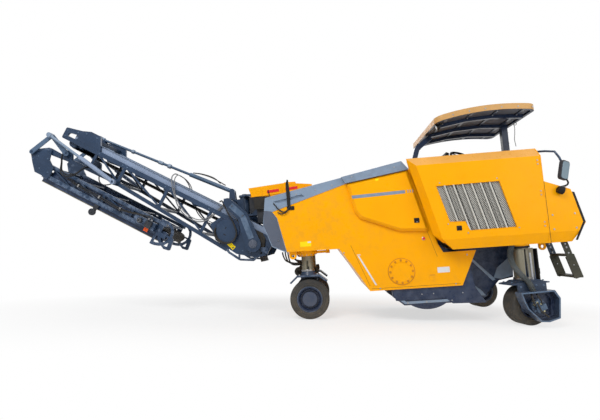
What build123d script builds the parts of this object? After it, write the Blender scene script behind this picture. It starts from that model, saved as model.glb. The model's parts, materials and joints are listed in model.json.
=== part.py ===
from build123d import *
import math
import os

# Front-loading cold planer on four wheels, with a folding discharge conveyor.
# Millimetres.  Two frames are used while building:
#   ground frame: +X forward, +Y left, +Z up, origin on the ground below the front axle;
#   body frame:   the same axes turned nose-down by PITCH, because the rear columns are run out further.
# The conveyor is built in its own (u, w) frame: u runs up along the belt, w is square to it.
# At the end everything is moved so that the origin is the bottom centre of the whole machine.

# ---------------------------------------------------------------- stance
PITCH = 4.0                  # nose-down lean of the body, degrees
FRONT_TYRE_R = 330.0
REAR_TYRE_R = 310.0
FRONT_TYRE_W = 280.0
REAR_TYRE_W = 300.0
WHEELBASE = 3380.0
FRONT_TRACK = 1320.0         # between the front column axes
REAR_TRACK = 2040.0          # between the rear column axes
REAR_STEER = 12.0            # the rear wheels are parked turned to the left, degrees
RUNNING_GAP = 0.3            # between a piece and the seat that it turns or rests on
MOVE_GAP = 6.0               # between pieces that pass each other

# ---------------------------------------------------------------- hull
HULL_Y = 950.0               # outer face of the side plates
SKIN = 30.0                  # side plates, decks and pans
NOSE_FLOOR_Z = 1130.0
BELLY_Z = 417.0              # lower edge of the lower side panels
TRIM_PROUD = 8.0             # the grey trim stands out past the yellow plate
DECK_DROP = 60.0             # the top deck lies this far below the trim's lower edge

# ---------------------------------------------------------------- housing
HOUSE_Y = REAR_TRACK / 2 + 230.0         # the side doors close round the columns
HOUSE_TOP_Z = 2500.0
HOUSE_TOP_Y = HOUSE_Y - 150.0          # where the sloping shoulder meets the flat top
HOUSE_CREASE_Z = 2355.0
HOUSE_LOW_CREASE_Z = 1160.0
HOUSE_BOTTOM_Z = 1000.0
HOUSE_BOTTOM_Y = HOUSE_Y - 60.0
SEAM_X = -3760.0             # rear edge of the side doors
PAN_FRONT_X = -2470.0        # the bottom pan starts behind the drum's hood
DOOR_SKIN = 40.0
FLOOR_Z = 1750.0             # operator's floor
WALL_INNER_Y = HOUSE_Y - 390.0

# ---------------------------------------------------------------- drum
DRUM_X = -1930.0
DRUM_Z = 600.0
DRUM_TUBE_R = 385.0
DRUM_Y0 = -855.0
DRUM_Y1 = 140.0
DRUM_SHELL_R = 520.0
DRUM_PLATE = 30.0
BOX_LEFT_Y = 905.0
BOX_RIGHT_Y = -905.0

# ---------------------------------------------------------------- columns
FRONT_COLUMN_R = 100.0
REAR_COLUMN_R = 122.0
COLUMN_TOP_Z = 1640.0
FRONT_CROWN_Z = 700.0        # underside of the front crown plates
REAR_CROWN_Z = 400.0
CROWN_T = 30.0
FORK_T = 30.0
AXLE_R = 45.0
HUB_R = 105.0

# ---------------------------------------------------------------- conveyor
BOOM_ANGLE = 26.4            # rise of the parked conveyor
LUFF_X = 1000.0              # luffing pivot in the ground frame
LUFF_Z = 1250.0
SLEW_XB = 1120.0             # slewing pivot in the body frame
SIDE_Y = 500.0               # centre plane of the side frames
CHORD_W = 60.0
CHORD_H = 80.0
BELT_HALF = 400.0
BELT_T = 14.0
HINGE_U, HINGE_W = 4180.0, -160.0      # folding hinge
ROCKER_U, ROCKER_W = 3840.0, -60.0     # rocker pivot on the inner section
EAR_U, EAR_W = 4430.0, -310.0          # link pivot on the outer section
PIN_U, PIN_W = 4230.0, 110.0           # where rod, rocker and link meet
FOLD_BASE_U, FOLD_BASE_W = 2750.0, -130.0
EAR_PLANE = (545.0, 565.0)             # the layers beside the frames, inner to outer
ROCKER_PLANE = (572.0, 592.0)
LINK_PLANE = (599.0, 619.0)
FOLD_CYL_Y = 665.0
FOLD_EYE_HALF = 38.0
FOLD_BARREL_R = 40.0
FOLD_ROD_R = 24.0
PIVOT_R = 25.0
LUFF_BARREL_R = 40.0
LUFF_ROD_R = 25.0
LUFF_EYE_HALF = 44.0
CLEVIS_PLANE = (48.0, 70.0)            # the two plates of the luffing cylinder's clevises
RAIL_PLANE = (560.0, 600.0)            # chassis rails below the operator's floor
RAIL_LOW_Z, RAIL_HIGH_Z = 1160.0, 1300.0
MAST_X, MAST_Z = 1500.0, 2250.0        # luffing cylinder's foot, ground frame
PENDANT_U, PENDANT_W = 3733.0, 458.0   # its upper end on the portal

BODY = Rotation(0, PITCH, 0)
BOOM = Pos(LUFF_X, 0, LUFF_Z) * Rotation(0, -BOOM_ANGLE, 0)


# ================================================================ helpers
def to_body(x, z):
    """Ground-frame x and z turned into the body frame."""
    a = math.radians(PITCH)
    return x * math.cos(a) - z * math.sin(a), x * math.sin(a) + z * math.cos(a)


def from_body(x, y, z):
    """Body-frame point in the ground frame."""
    a = math.radians(PITCH)
    return Vector(x * math.cos(a) + z * math.sin(a), y, -x * math.sin(a) + z * math.cos(a))


def from_boom(u, y, w):
    """Conveyor-frame point in the ground frame."""
    a = math.radians(BOOM_ANGLE)
    return Vector(LUFF_X + u * math.cos(a) - w * math.sin(a), y, LUFF_Z + u * math.sin(a) + w * math.cos(a))


def to_boom(x, z):
    """Ground-frame x and z in the conveyor frame."""
    a = math.radians(BOOM_ANGLE)
    dx, dz = x - LUFF_X, z - LUFF_Z
    return dx * math.cos(a) + dz * math.sin(a), -dx * math.sin(a) + dz * math.cos(a)


def prism(outline, y0, y1, radius=0.0):
    """An x-z outline pushed along Y from y0 to y1, with its corners rounded."""
    face = make_face(Polyline(*outline, close=True))
    if radius:
        face = fillet(face.vertices(), radius)
    return extrude(Plane((0, y0, 0), (1, 0, 0), (0, -1, 0)) * face, amount=y1 - y0, dir=(0, 1, 0))


def block(x0, x1, y0, y1, z0, z1):
    """A box between two corners."""
    return Pos((x0 + x1) / 2, (y0 + y1) / 2, (z0 + z1) / 2) * Box(abs(x1 - x0), abs(y1 - y0), abs(z1 - z0))


def disc(x, z, y0, y1, radius):
    """A cylinder along Y."""
    return Solid.make_cylinder(radius, y1 - y0, Plane((x, y0, z), x_dir=(1, 0, 0), z_dir=(0, 1, 0)))


def post(x, y, z0, z1, radius):
    """A cylinder along Z."""
    return Solid.make_cylinder(radius, z1 - z0, Plane((x, y, z0)))


def rod(a, b, radius):
    """A round bar from a to b."""
    a, b = Vector(*a), Vector(*b)
    return Solid.make_cylinder(radius, (b - a).length, Plane(a, z_dir=b - a))


def beam(a, b, y, width, height):
    """A square bar between two (x, z) points, centred on a y plane."""
    start, end = Vector(a[0], y, a[1]), Vector(b[0], y, b[1])
    along = end - start
    size = Box(width, height, along.length, align=(Align.CENTER, Align.CENTER, Align.MIN))
    return Plane(start, x_dir=(0, 1, 0), z_dir=along) * size


def slot_plate(a, b, radius_a, radius_b, y0, y1):
    """A plate with round ends of two radii, between two (x, z) points."""
    width = y1 - y0
    dx, dz = b[0] - a[0], b[1] - a[1]
    length = math.hypot(dx, dz)
    nx, nz = -dz / length, dx / length
    web = [(a[0] + nx * radius_a, a[1] + nz * radius_a), (b[0] + nx * radius_b, b[1] + nz * radius_b),
           (b[0] - nx * radius_b, b[1] - nz * radius_b), (a[0] - nx * radius_a, a[1] - nz * radius_a)]
    return union(prism(web, y0, y0 + width), disc(*a, y0, y1, radius_a), disc(*b, y0, y1, radius_b))


def union(*shapes):
    """One shape from several."""
    return Part() + list(shapes)


def both(shape):
    """The shape with its mirror image on the other side."""
    return union(shape, mirror(shape, Plane.XZ))


def loop_belt(path, radius, y0, y1):
    """A closed belt round rollers of one radius at the path's points."""
    outer = union(*[slot_plate(a, b, radius, radius, y0, y1) for a, b in zip(path, path[1:])])
    bore = radius - BELT_T
    inner = union(*[slot_plate(a, b, bore, bore, y0 - 1, y1 + 1) for a, b in zip(path, path[1:])])
    return outer - inner


# ================================================================ hull
NOSE_LINE = [(290, NOSE_FLOOR_Z + 7), (418, 1712), (495, 1818)]        # where yellow meets the grey front
TRIM_LOW = [(495, 1818), (-750, 2191)]                                  # lower edge of the grey top band
TRIM_HIGH = [(600, 2060), (-690, 2300)]
COVER_LOW = [(-750, 2191), (-1790, 2343)]                               # the band's rear, stepped out part
COVER_HIGH = [(-690, 2300), (-1680, 2485)]
NOSE_FRONT = [(600, 2060), (660, 1610), (530, 1240), (300, NOSE_FLOOR_Z)]
BELLY_SLOPE = [(-570, NOSE_FLOOR_Z), (-760, 840), (-1018, BELLY_Z)]
PANEL_REAR = [(-2484, BELLY_Z), (-2748, 961)]


def front_axis():
    """Front column axis (body x) and axle height (body z)."""
    return to_body(0, FRONT_TYRE_R)


def rear_drop():
    """How far a rear tyre's edge sinks because its turned axle is not quite level."""
    tilt = math.asin(math.sin(math.radians(PITCH)) * math.sin(math.radians(REAR_STEER)))
    return REAR_TYRE_R * math.cos(tilt) + REAR_TYRE_W / 2 * math.sin(abs(tilt))


def rear_axis():
    return to_body(-WHEELBASE, rear_drop())


def build_hull():
    """Side plates, nose floor, belly slope, decks and bulkheads, open at the front for the conveyor."""
    outline = NOSE_LINE + [COVER_LOW[0], COVER_LOW[1], (-2150, 1120), (-2230, 961)]
    outline += [PANEL_REAR[1], PANEL_REAR[0]] + BELLY_SLOPE[::-1]
    inner_y = HULL_Y - SKIN
    plate = prism(outline, inner_y, HULL_Y)
    fx, _ = front_axis()
    floor = block(-570, 285, -inner_y, inner_y, NOSE_FLOOR_Z + 7, NOSE_FLOOR_Z + 7 + SKIN)
    collar_z = NOSE_FLOOR_Z - 60
    pieces = [both(plate), floor]
    (ax, az), (bx, bz), (cx, cz) = BELLY_SLOPE
    slope = [(ax, az + 7), (bx, bz), (cx, cz), (cx - 34, cz + 10), (bx - 32, bz + 20), (ax - 22, az + 37),
             (ax + 10, az + 37)]
    pieces.append(prism(slope, -inner_y, inner_y))
    deck = [(TRIM_LOW[0][0] - 120, TRIM_LOW[0][1] - DECK_DROP + 36), (TRIM_LOW[1][0], TRIM_LOW[1][1] - DECK_DROP),
            (COVER_LOW[1][0], COVER_LOW[1][1] - DECK_DROP), (COVER_LOW[1][0], COVER_LOW[1][1] - DECK_DROP - SKIN),
            (TRIM_LOW[1][0], TRIM_LOW[1][1] - DECK_DROP - SKIN),
            (TRIM_LOW[0][0] - 120, TRIM_LOW[0][1] - DECK_DROP + 36 - SKIN)]
    pieces.append(prism(deck, -inner_y, inner_y))
    pieces.append(block(-1400, -1370, -inner_y, inner_y, RAIL_LOW_Z, 2000))
    for y0, y1 in (RAIL_PLANE, (-RAIL_PLANE[1], -RAIL_PLANE[0])):
        pieces.append(block(-3700, -1390, y0, y1, RAIL_LOW_Z, RAIL_HIGH_Z))
    hull = union(*pieces)
    for side in (1, -1):
        y = side * FRONT_TRACK / 2
        collar = union(post(fx, y, collar_z, NOSE_FLOOR_Z + 8, 142), post(fx, y, collar_z - 24, collar_z, 128))
        guide = post(fx, y, NOSE_FLOOR_Z, 1560, FRONT_COLUMN_R + 24)
        hull = union(hull, collar, guide) - post(fx, y, 900, 1700, FRONT_COLUMN_R + RUNNING_GAP)
    for side in (1, -1):
        hull = union(hull, lashing_lug(*FRONT_LUG, side * FRONT_LUG_Y, NOSE_FLOOR_Z + 8))
    return hull


LUG_BORE_R = 28.0
LUG_PLATE = 30.0
FRONT_LUG, FRONT_LUG_Y = (200, 1070), 875.0             # bore centre, and the plate's middle plane
REAR_LUG, REAR_LUG_Y = (-4040, 930), 400.0


def lashing_lug(x, z, y, top):
    """Plate with a bore for a lashing shackle, hung below a floor at height top."""
    half = LUG_PLATE / 2
    plate = union(disc(x, z, y - half, y + half, 62), block(x - 62, x + 62, y - half, y + half, z, top))
    return plate - disc(x, z, y - half - 1, y + half + 1, LUG_BORE_R)


def build_trim():
    """Grey front frame and top bands."""
    side0, side1 = HULL_Y - SKIN, HULL_Y + TRIM_PROUD
    band = [TRIM_HIGH[0], TRIM_HIGH[1], TRIM_LOW[1]] + NOSE_LINE[::-1] + NOSE_FRONT[::-1][:-1]
    near = prism(band, side0, side1)
    near -= prism([(470, 1985), (-20, 2075), (-60, 2035), (360, 1955)], side1 - 26, side1 + 5)
    cover = prism([COVER_HIGH[0], COVER_HIGH[1], COVER_LOW[1], COVER_LOW[0]], side0, HULL_Y + 80)
    cross_top = both(prism([(600, 2060), (490, 2080), (490, 2040), (596, 2020)], 170, side0))
    lip = prism([(285, 1137), (420, 1186), (420, 1216), (285, 1167)], -side0, side0)
    return union(both(union(near, cover)), cross_top, lip)


SERVICE_PROUD = 80.0
SERVICE_TOP = [(-772, 2180), (-1773, 2326)]       # the upper edge, which is the hinge line
DOOR_FRONT_TOP = Vector(-1865, HOUSE_Y, HOUSE_CREASE_Z)
DOOR_FRONT_LOW = Vector(-2167, HOUSE_Y, 1160)
DOOR_FRONT_OUT = Vector(-1760, HOUSE_TOP_Y, HOUSE_TOP_Z - 60)
DOOR_TOE = Vector(-2343, HOUSE_Y, 989)


def service_door_outline():
    """The access door's outline; its rear edge stands clear of the side door's front edge."""
    slope = (DOOR_FRONT_TOP.X - DOOR_FRONT_LOW.X) / (DOOR_FRONT_TOP.Z - DOOR_FRONT_LOW.Z)
    foot_z = 1345
    foot_x = DOOR_FRONT_OUT.X + (foot_z - DOOR_FRONT_OUT.Z) * slope + 2 * MOVE_GAP
    return [SERVICE_TOP[0], (-871, 1711), (-950, 1600), (-1567, 1350), (foot_x + 50, 1322), (foot_x, foot_z),
            SERVICE_TOP[1]]


def build_service_door(side):
    """The bevelled access door on the hull's flank, hung from its upper edge."""
    y0, y1 = HULL_Y + RUNNING_GAP, HULL_Y + SERVICE_PROUD
    door = prism(service_door_outline(), y0, y1)
    door = chamfer(door.faces().sort_by(Axis.Y)[-1].edges(), 42, 42)
    return door if side > 0 else mirror(door, Plane.XZ)


# ================================================================ housing
def house_section(inset):
    """Half of the housing's cross-section in y and z, drawn in by an inset."""
    outline = [(0, HOUSE_TOP_Z), (HOUSE_TOP_Y, HOUSE_TOP_Z), (HOUSE_Y, HOUSE_CREASE_Z),
               (HOUSE_Y, HOUSE_LOW_CREASE_Z), (HOUSE_BOTTOM_Y, HOUSE_BOTTOM_Z), (0, HOUSE_BOTTOM_Z)]
    face = make_face(Polyline(*outline, close=True))
    return offset(face, amount=-inset, kind=Kind.INTERSECTION) if inset else face


def house_bar(x0, x1, inset):
    """The housing's half section pushed along X."""
    plane = Plane((x0, 0, 0), x_dir=(0, 1, 0), z_dir=(1, 0, 0))
    return extrude(plane * house_section(inset), amount=x1 - x0)


def half_space(p, q, r, shift):
    """A large box on the forward side of the plane through three points, moved back by shift."""
    normal = (q - p).cross(r - p).normalized()
    if normal.X < 0:
        normal = normal * -1
    return Plane(p - normal * shift, z_dir=normal) * Box(6000, 6000, 3000, align=(Align.CENTER, Align.CENTER, Align.MIN))


def door_body(x0, inset):
    body = house_bar(x0, -1500, inset)
    body -= half_space(DOOR_FRONT_TOP, DOOR_FRONT_LOW, DOOR_FRONT_OUT, inset)
    toe_out = DOOR_TOE + (DOOR_FRONT_OUT - DOOR_FRONT_TOP)
    body -= half_space(DOOR_FRONT_LOW, DOOR_TOE, toe_out, inset)
    return body


LOUVRE = [(-2146, 2000), (-3110, 2008), (-3297, 1285), (-2595, 1278), (-2535, 1425), (-2303, 1431)]
LOUVRE_SLATS = 8


def build_side_door(side):
    """Engine door: side, shoulder, lower turn and front bevel in one shell, with its louvre cut out."""
    shell = door_body(SEAM_X, 0) - door_body(SEAM_X + DOOR_SKIN, DOOR_SKIN)
    shell -= block(-4000, -1000, -10, HOUSE_TOP_Y, 900, 2600)
    shell -= block(-4000, -1000, -10, REAR_TRACK / 2 + REAR_COLUMN_R + 24 + MOVE_GAP, 900, 1110)
    shell -= prism(LOUVRE, 1150, 1300)
    return shell if side > 0 else mirror(shell, Plane.XZ)


def build_louvre(side):
    """Meshed louvre panel with slanted ribs."""
    rim = 0.3
    y0 = HOUSE_Y - DOOR_SKIN
    face = make_face(Polyline(*LOUVRE, close=True))
    face = offset(face, amount=-rim, kind=Kind.INTERSECTION)
    panel = extrude(Plane((0, y0, 0), (1, 0, 0), (0, -1, 0)) * face, amount=14, dir=(0, 1, 0))
    top_z, low_z = 1996, 1290
    ribs = []
    for i in range(LOUVRE_SLATS):
        t = (i + 1) / (LOUVRE_SLATS + 1)
        top = -2146 + t * (-3110 + 2146)
        lean = -0.272 * (top_z - low_z)
        foot_z = 1440 if top + lean > -2560 else low_z
        foot = top + lean * (top_z - foot_z) / (top_z - low_z)
        ribs.append(beam((top, top_z), (foot, foot_z), y0 + 22, 18, 22))
    panel = union(panel, *ribs)
    return panel if side > 0 else mirror(panel, Plane.XZ)


REAR_CAP = [(SEAM_X - 15, 1951), (-4155, 1800), (-4319, 1279), (-4115, HOUSE_BOTTOM_Z), (SEAM_X - 15, HOUSE_BOTTOM_Z)]


DASH_REAR = [(-1990, FLOOR_Z - SKIN), (-1830, 2380)]     # rear face of the dash wall


def build_housing():
    """Fixed sheet metal round the engine: pan, bulkheads, operator's floor, double side walls, rear cap."""
    rx, _ = rear_axis()
    door_edge = HOUSE_TOP_Y - RUNNING_GAP
    pan = block(SEAM_X - 15, PAN_FRONT_X, -door_edge, door_edge, HOUSE_BOTTOM_Z, HOUSE_BOTTOM_Z + SKIN)
    wall_front = -1800
    inner = prism([(SEAM_X - 15, FLOOR_Z - SKIN), (SEAM_X - 15, HOUSE_TOP_Z), (wall_front, HOUSE_TOP_Z),
                   (wall_front - 140, FLOOR_Z - SKIN)], WALL_INNER_Y, WALL_INNER_Y + 25)
    top = block(SEAM_X - 15, wall_front, WALL_INNER_Y, door_edge, HOUSE_TOP_Z - 25, HOUSE_TOP_Z)
    jamb = house_bar(SEAM_X - 15, SEAM_X - RUNNING_GAP, 0) - block(-5000, 0, -10, WALL_INNER_Y, 900, 2600)
    floor = block(SEAM_X - 15, -2000, -HOUSE_TOP_Y + 40, HOUSE_TOP_Y - 40, FLOOR_Z - SKIN, FLOOR_Z)
    dash = prism(DASH_REAR + [(x + SKIN, z) for x, z in DASH_REAR[::-1]], -WALL_INNER_Y, WALL_INNER_Y)
    bulkhead = block(-2300, -2270, -HULL_Y + SKIN + 2, HULL_Y - SKIN - 2, RAIL_HIGH_Z + RUNNING_GAP, FLOOR_Z)
    cap_prism = prism(REAR_CAP, -HOUSE_Y - 50, HOUSE_Y + 50)
    cap = cap_prism & both(house_bar(-4400, SEAM_X - 15, 0))
    hollow = [(SEAM_X + 10, 1920), (-4130, 1775), (-4285, 1279), (-4100, 1035), (SEAM_X + 10, 1035)]
    cap -= prism(hollow, -HOUSE_Y - 50, HOUSE_Y + 50) & both(house_bar(-4400, SEAM_X + 10, SKIN))
    housing = union(both(union(inner, top, jamb)), pan, floor, dash, bulkhead, cap)
    for side in (1, -1):
        y = side * REAR_TRACK / 2
        guide = post(rx, y, HOUSE_BOTTOM_Z - 20, 1500, REAR_COLUMN_R + 24)
        housing = union(housing, guide) - post(rx, y, 800, 1700, REAR_COLUMN_R + RUNNING_GAP)
        housing = union(housing, lashing_lug(*REAR_LUG, side * REAR_LUG_Y, HOUSE_BOTTOM_Z + 6))
    return housing


def build_engine():
    return block(-3520, -2500, -430, 430, HOUSE_BOTTOM_Z + SKIN + RUNNING_GAP, FLOOR_Z - SKIN - 40)


# ================================================================ operator's station
def build_console():
    """Dash cabinet, steering column and wheel."""
    low = FLOOR_Z + RUNNING_GAP
    cabinet = prism([(-2520, low), (-2760, low), (-2800, 2480), (-2640, 2560), (-2560, 2480)], -330, 330)
    column = rod((-2740, 0, 2380), (-2960, 0, 2665), 28)
    return union(cabinet, column, build_steering_wheel())


def build_steering_wheel():
    """Three-spoked wheel on the column's upper end."""
    plane = Plane((-2960, 0, 2665), z_dir=(-0.45, 0, 0.89))
    ring = plane * Torus(180, 14)
    hub = plane * Cylinder(45, 30)
    spokes = [plane * Rotation(0, 0, 120 * i) * Pos(95, 0, 0) * Box(170, 26, 12) for i in range(3)]
    return union(ring, hub, *spokes)


def build_seat():
    base = block(-3480, -3160, -160, 160, FLOOR_Z + RUNNING_GAP, 2110)
    cushion = fillet(block(-3560, -3060, -250, 250, 2110, 2210).edges(), 30)
    back = prism([(-3480, 2200), (-3580, 2200), (-3660, 2480), (-3580, 2480)], -235, 235, 20)
    return union(base, cushion, back)


ROOF_FRONT, ROOF_REAR = -2310.0, -3930.0
ROOF_Y = 1000.0
ROOF_T = 95.0
ROOF_LIP = 45.0


def roof_slab(inset, drop):
    """The roof's crowned form with rounded corners, drawn in by inset and lowered by drop."""
    x0, x1 = ROOF_FRONT - inset, ROOF_REAR + inset
    mid = (x0 + x1) / 2
    top = ThreePointArc((x0, 3180 - drop), (mid, 3300 - drop), (x1, 3255 - drop))
    low = ThreePointArc((x1, 3255 - ROOF_T), (mid, 3300 - ROOF_T), (x0, 3180 - ROOF_T))
    face = make_face([top, Line(top @ 1, low @ 0), low, Line(low @ 1, top @ 0)])
    y = ROOF_Y - inset
    slab = extrude(Plane((0, -y, 0), (1, 0, 0), (0, -1, 0)) * face, amount=2 * y, dir=(0, 1, 0))
    corners = [e for e in slab.edges().filter_by(Axis.Z) if e.length > 20]
    return fillet(corners, 130 - inset / 2)


def roof_low(x):
    """Height of the roof's lower edge at a station."""
    s = (x - (ROOF_FRONT + ROOF_REAR) / 2) / ((ROOF_FRONT - ROOF_REAR) / 2)
    return 3300 - ROOF_T - 37.5 * s - 82.5 * s * s


def build_roof():
    """Roof shell with a lip all round, hollow below."""
    return roof_slab(0, 0) - Pos(0, 0, -30) * roof_slab(ROOF_LIP, 0)


def build_roof_frame():
    """Dark underside: two long beams, four cross beams, and the post and curved arm that carry the roof."""
    pieces = []
    for y in (-620, 0, 620):
        top = [(x, roof_low(x) + 20) for x in (-2420, -2900, -3350, -3860)]
        pieces.append(prism(top + [(x, z - 60) for x, z in top[::-1]], y - 35, y + 35))
    reach = ROOF_Y - ROOF_LIP - RUNNING_GAP
    for x in (-2500, -2925, -3350, -3750):
        z = roof_low(x) + 27
        pieces.append(block(x - 25, x + 25, -reach, reach, z - 25, z + 25))
    cap_top = REAR_CAP[0][1] + RUNNING_GAP
    pieces.append(block(-3840, -3730, -55, 55, cap_top, 3150))
    pieces.append(block(SEAM_X - 15 + RUNNING_GAP, -3725, -90, 90, FLOOR_Z + RUNNING_GAP, cap_top + 60))
    pieces.append(beam((-2110, 2360), (-2110, 2690), 0, 70, 90))
    pieces.append(beam((-2110, 2670), (-2190, 2900), 0, 70, 90))
    pieces.append(beam((-2180, 2880), (-2450, 3080), 0, 70, 90))
    pieces.append(block(-2155, -1800, -35, 35, 2290, 2360))
    behind = [(x - RUNNING_GAP, z) for x, z in DASH_REAR] + [(-1700, 2380), (-1700, FLOOR_Z - SKIN)]
    return union(*pieces) - prism(behind, -100, 100)


def build_ladder():
    """Rear access ladder on the left: two stringers with rubber lower halves and two treads."""
    pieces = []
    for y in (650, 1130):
        pieces.append(beam((-4020, HOUSE_BOTTOM_Z + 10), (-4180, 440), y, 22, 95))
    for x, z in ((-4075, 790), (-4170, 455)):
        pieces.append(block(x - 80, x + 50, 650, 1130, z - 14, z + 14))
    above = block(-4300, -3900, 500, 1300, HOUSE_BOTTOM_Z - RUNNING_GAP, HOUSE_BOTTOM_Z + 200)
    return union(*pieces) - above


def build_mirrors():
    """Rear-view mirrors on cranked arms behind the side walls."""
    root, knee, neck = (-3785, 1000, 2440), (-3830, 1000, 2463), (-3993, 1240, 2400)
    end = (-4060, 1290, 2180)
    tube_r = 16
    foot = block(SEAM_X - 15 - RUNNING_GAP - 14, SEAM_X - 15 - RUNNING_GAP, 965, 1035, 2395, 2475)
    arm = union(foot, rod(root, knee, tube_r), rod(knee, neck, tube_r), rod(neck, end, tube_r),
                Pos(*knee) * Sphere(tube_r), Pos(*neck) * Sphere(tube_r))
    head = Pos(-4070, 1295, 2090) * Rotation(0, -18, -35) * fillet(Box(60, 180, 300).edges().filter_by(Axis.X), 40)
    return both(union(arm, head))


# ================================================================ milling gear
def build_drum_box():
    """Hood over the drum, its end plates and the drive compartment on the left."""
    shell = disc(DRUM_X, DRUM_Z, BOX_RIGHT_Y, BOX_LEFT_Y, DRUM_SHELL_R + DRUM_PLATE)
    shell -= disc(DRUM_X, DRUM_Z, BOX_RIGHT_Y - 5, BOX_LEFT_Y + 5, DRUM_SHELL_R)
    lower = [(DRUM_X - 900, 0), (DRUM_X + 900, 0), (DRUM_X + 900, DRUM_Z - 40), (DRUM_X - 900, DRUM_Z - 40)]
    shell -= prism(lower, -1000, 1000)
    rear = prism([(DRUM_X - 520, DRUM_Z), (DRUM_X - 550, DRUM_Z), (DRUM_X - 700, 260), (DRUM_X - 660, 160),
                  (DRUM_X - 620, 160), (DRUM_X - 640, 270)], BOX_RIGHT_Y, BOX_LEFT_Y)
    front = prism([(DRUM_X + 520, DRUM_Z - 45), (DRUM_X + 550, DRUM_Z - 45), (DRUM_X + 560, 480),
                   (DRUM_X + 530, 480)], BOX_RIGHT_Y, BOX_LEFT_Y)
    end = [(DRUM_X - 560, DRUM_Z), (DRUM_X - 650, 300), (DRUM_X - 640, 150), (DRUM_X + 380, 150),
           (DRUM_X + 560, 300), (DRUM_X + 560, DRUM_Z)]
    pieces = [shell, rear, front]
    for y0, y1 in ((BOX_RIGHT_Y, BOX_RIGHT_Y + DRUM_PLATE), (DRUM_Y1 + 40, DRUM_Y1 + 40 + DRUM_PLATE),
                   (BOX_LEFT_Y - DRUM_PLATE, BOX_LEFT_Y)):
        pieces.append(union(prism(end, y0, y1), disc(DRUM_X, DRUM_Z, y0, y1, DRUM_SHELL_R + 10)))
    box = union(*pieces)
    reach = HULL_Y - SKIN - RUNNING_GAP
    box = union(box, both(block(DRUM_X - 200, DRUM_X + 200, BOX_LEFT_Y - 5, reach, 720, 900)))
    return box - disc(DRUM_X, DRUM_Z, -1000, DRUM_Y1 + 100, 70 + RUNNING_GAP)


PICK_ROWS = 3
PICKS_PER_ROW = 22


def build_drum():
    """Drum tube with its shaft."""
    tube = disc(DRUM_X, DRUM_Z, DRUM_Y0, DRUM_Y1, DRUM_TUBE_R) - disc(DRUM_X, DRUM_Z, DRUM_Y0 + 60, DRUM_Y1 - 60,
                                                                     DRUM_TUBE_R - 40)
    return union(tube, disc(DRUM_X, DRUM_Z, BOX_RIGHT_Y, DRUM_Y1 + 40 + DRUM_PLATE, 70)).solid()


def build_picks():
    """Pick holders with their round picks, on helices that run in from both ends to the middle."""
    picks = []
    base = DRUM_TUBE_R + RUNNING_GAP
    span = DRUM_Y1 - DRUM_Y0 - 90
    for row in range(PICK_ROWS):
        for i in range(PICKS_PER_ROW):
            y = DRUM_Y0 + 45 + span * (i + 0.5) / PICKS_PER_ROW
            turn = 300 * abs(y - (DRUM_Y0 + DRUM_Y1) / 2) / span + row * 360 / PICK_ROWS
            holder = prism([(-30, base), (34, base), (26, base + 34), (-6, base + 42)], y - 17, y + 17)
            tip = Solid.make_cone(15, 4, 62, Plane((4, y, base + 30), z_dir=(-0.62, 0, 0.78)))
            pick = union(holder, tip)
            picks.append((Pos(DRUM_X, 0, DRUM_Z) * Rotation(0, turn, 0) * pick).solid())
    return picks


def build_edge_plates():
    """Side plates that close the cut beside the drum, with a folded skid at the rear."""
    outline = [(-1330, 500), (-1420, 230), (-2210, 228), (-2312, 138), (-2840, 121), (-2690, 370), (-2650, 640),
               (-2600, 640), (-2330, 500)]
    return union(prism(outline, BOX_LEFT_Y + RUNNING_GAP, BOX_LEFT_Y + 12),
                 prism(outline, BOX_RIGHT_Y - 12, BOX_RIGHT_Y - RUNNING_GAP))


PRIMARY_PATH = [(-1270, 470), (-790, 1235), (325, 1608)]
PRIMARY_R = 85.0
PRIMARY_HALF = 330.0


def build_primary():
    """Side frames of the collecting conveyor that climbs through the nose."""
    pieces = []
    for y in (-PRIMARY_HALF - 25, PRIMARY_HALF + 25):
        for a, b in zip(PRIMARY_PATH, PRIMARY_PATH[1:]):
            pieces.append(beam(a, b, y, 30, 120))
        pieces.append(disc(*PRIMARY_PATH[1], y - 15, y + 15, 60))
    for x, z in PRIMARY_PATH:
        pieces.append(disc(x, z, -PRIMARY_HALF - 25, PRIMARY_HALF + 25, PRIMARY_R - BELT_T - RUNNING_GAP))
    reach = HULL_Y - SKIN - RUNNING_GAP
    pieces.append(disc(*PRIMARY_PATH[1], -reach, reach, 40))
    return union(*pieces)


def build_primary_belt():
    return loop_belt(PRIMARY_PATH, PRIMARY_R, -PRIMARY_HALF, PRIMARY_HALF)


# ================================================================ wheels and columns
WHEELS = [
    # name, side, column y, tyre radius, tyre width, rest steering angle
    ("front_left", 1, FRONT_TRACK / 2, FRONT_TYRE_R, FRONT_TYRE_W, 0.0),
    ("front_right", -1, FRONT_TRACK / 2, FRONT_TYRE_R, FRONT_TYRE_W, 0.0),
    ("rear_left", 1, REAR_TRACK / 2, REAR_TYRE_R, REAR_TYRE_W, REAR_STEER),
    ("rear_right", -1, REAR_TRACK / 2, REAR_TYRE_R, REAR_TYRE_W, REAR_STEER),
]


def turned(shape, x, y, angle):
    """The shape turned about the vertical line through (x, y)."""
    return Pos(x, y, 0) * Rotation(0, 0, angle) * Pos(-x, -y, 0) * shape


def wheel_profile(points, x, y, z):
    """A solid of revolution about the Y line through (x, y, z), from (offset along y, radius) points."""
    face = make_face(Polyline(*points, close=True))
    plane = Plane((x, y, z), x_dir=(0, 1, 0), z_dir=(-1, 0, 0))
    return revolve(plane * face, Axis((x, y, z), (0, 1, 0)), 360)


def build_tyre(x, y, z, radius, width, out):
    """Solid rubber tyre with bevelled shoulders."""
    half, bore = width / 2, radius * 0.62
    points = [(-half + 12, bore), (half - 12, bore), (half, radius - 70), (half - 8, radius - 22),
              (half - 30, radius), (-half + 30, radius), (-half + 8, radius - 22), (-half, radius - 70)]
    return wheel_profile(points, x, y, z)


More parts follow.
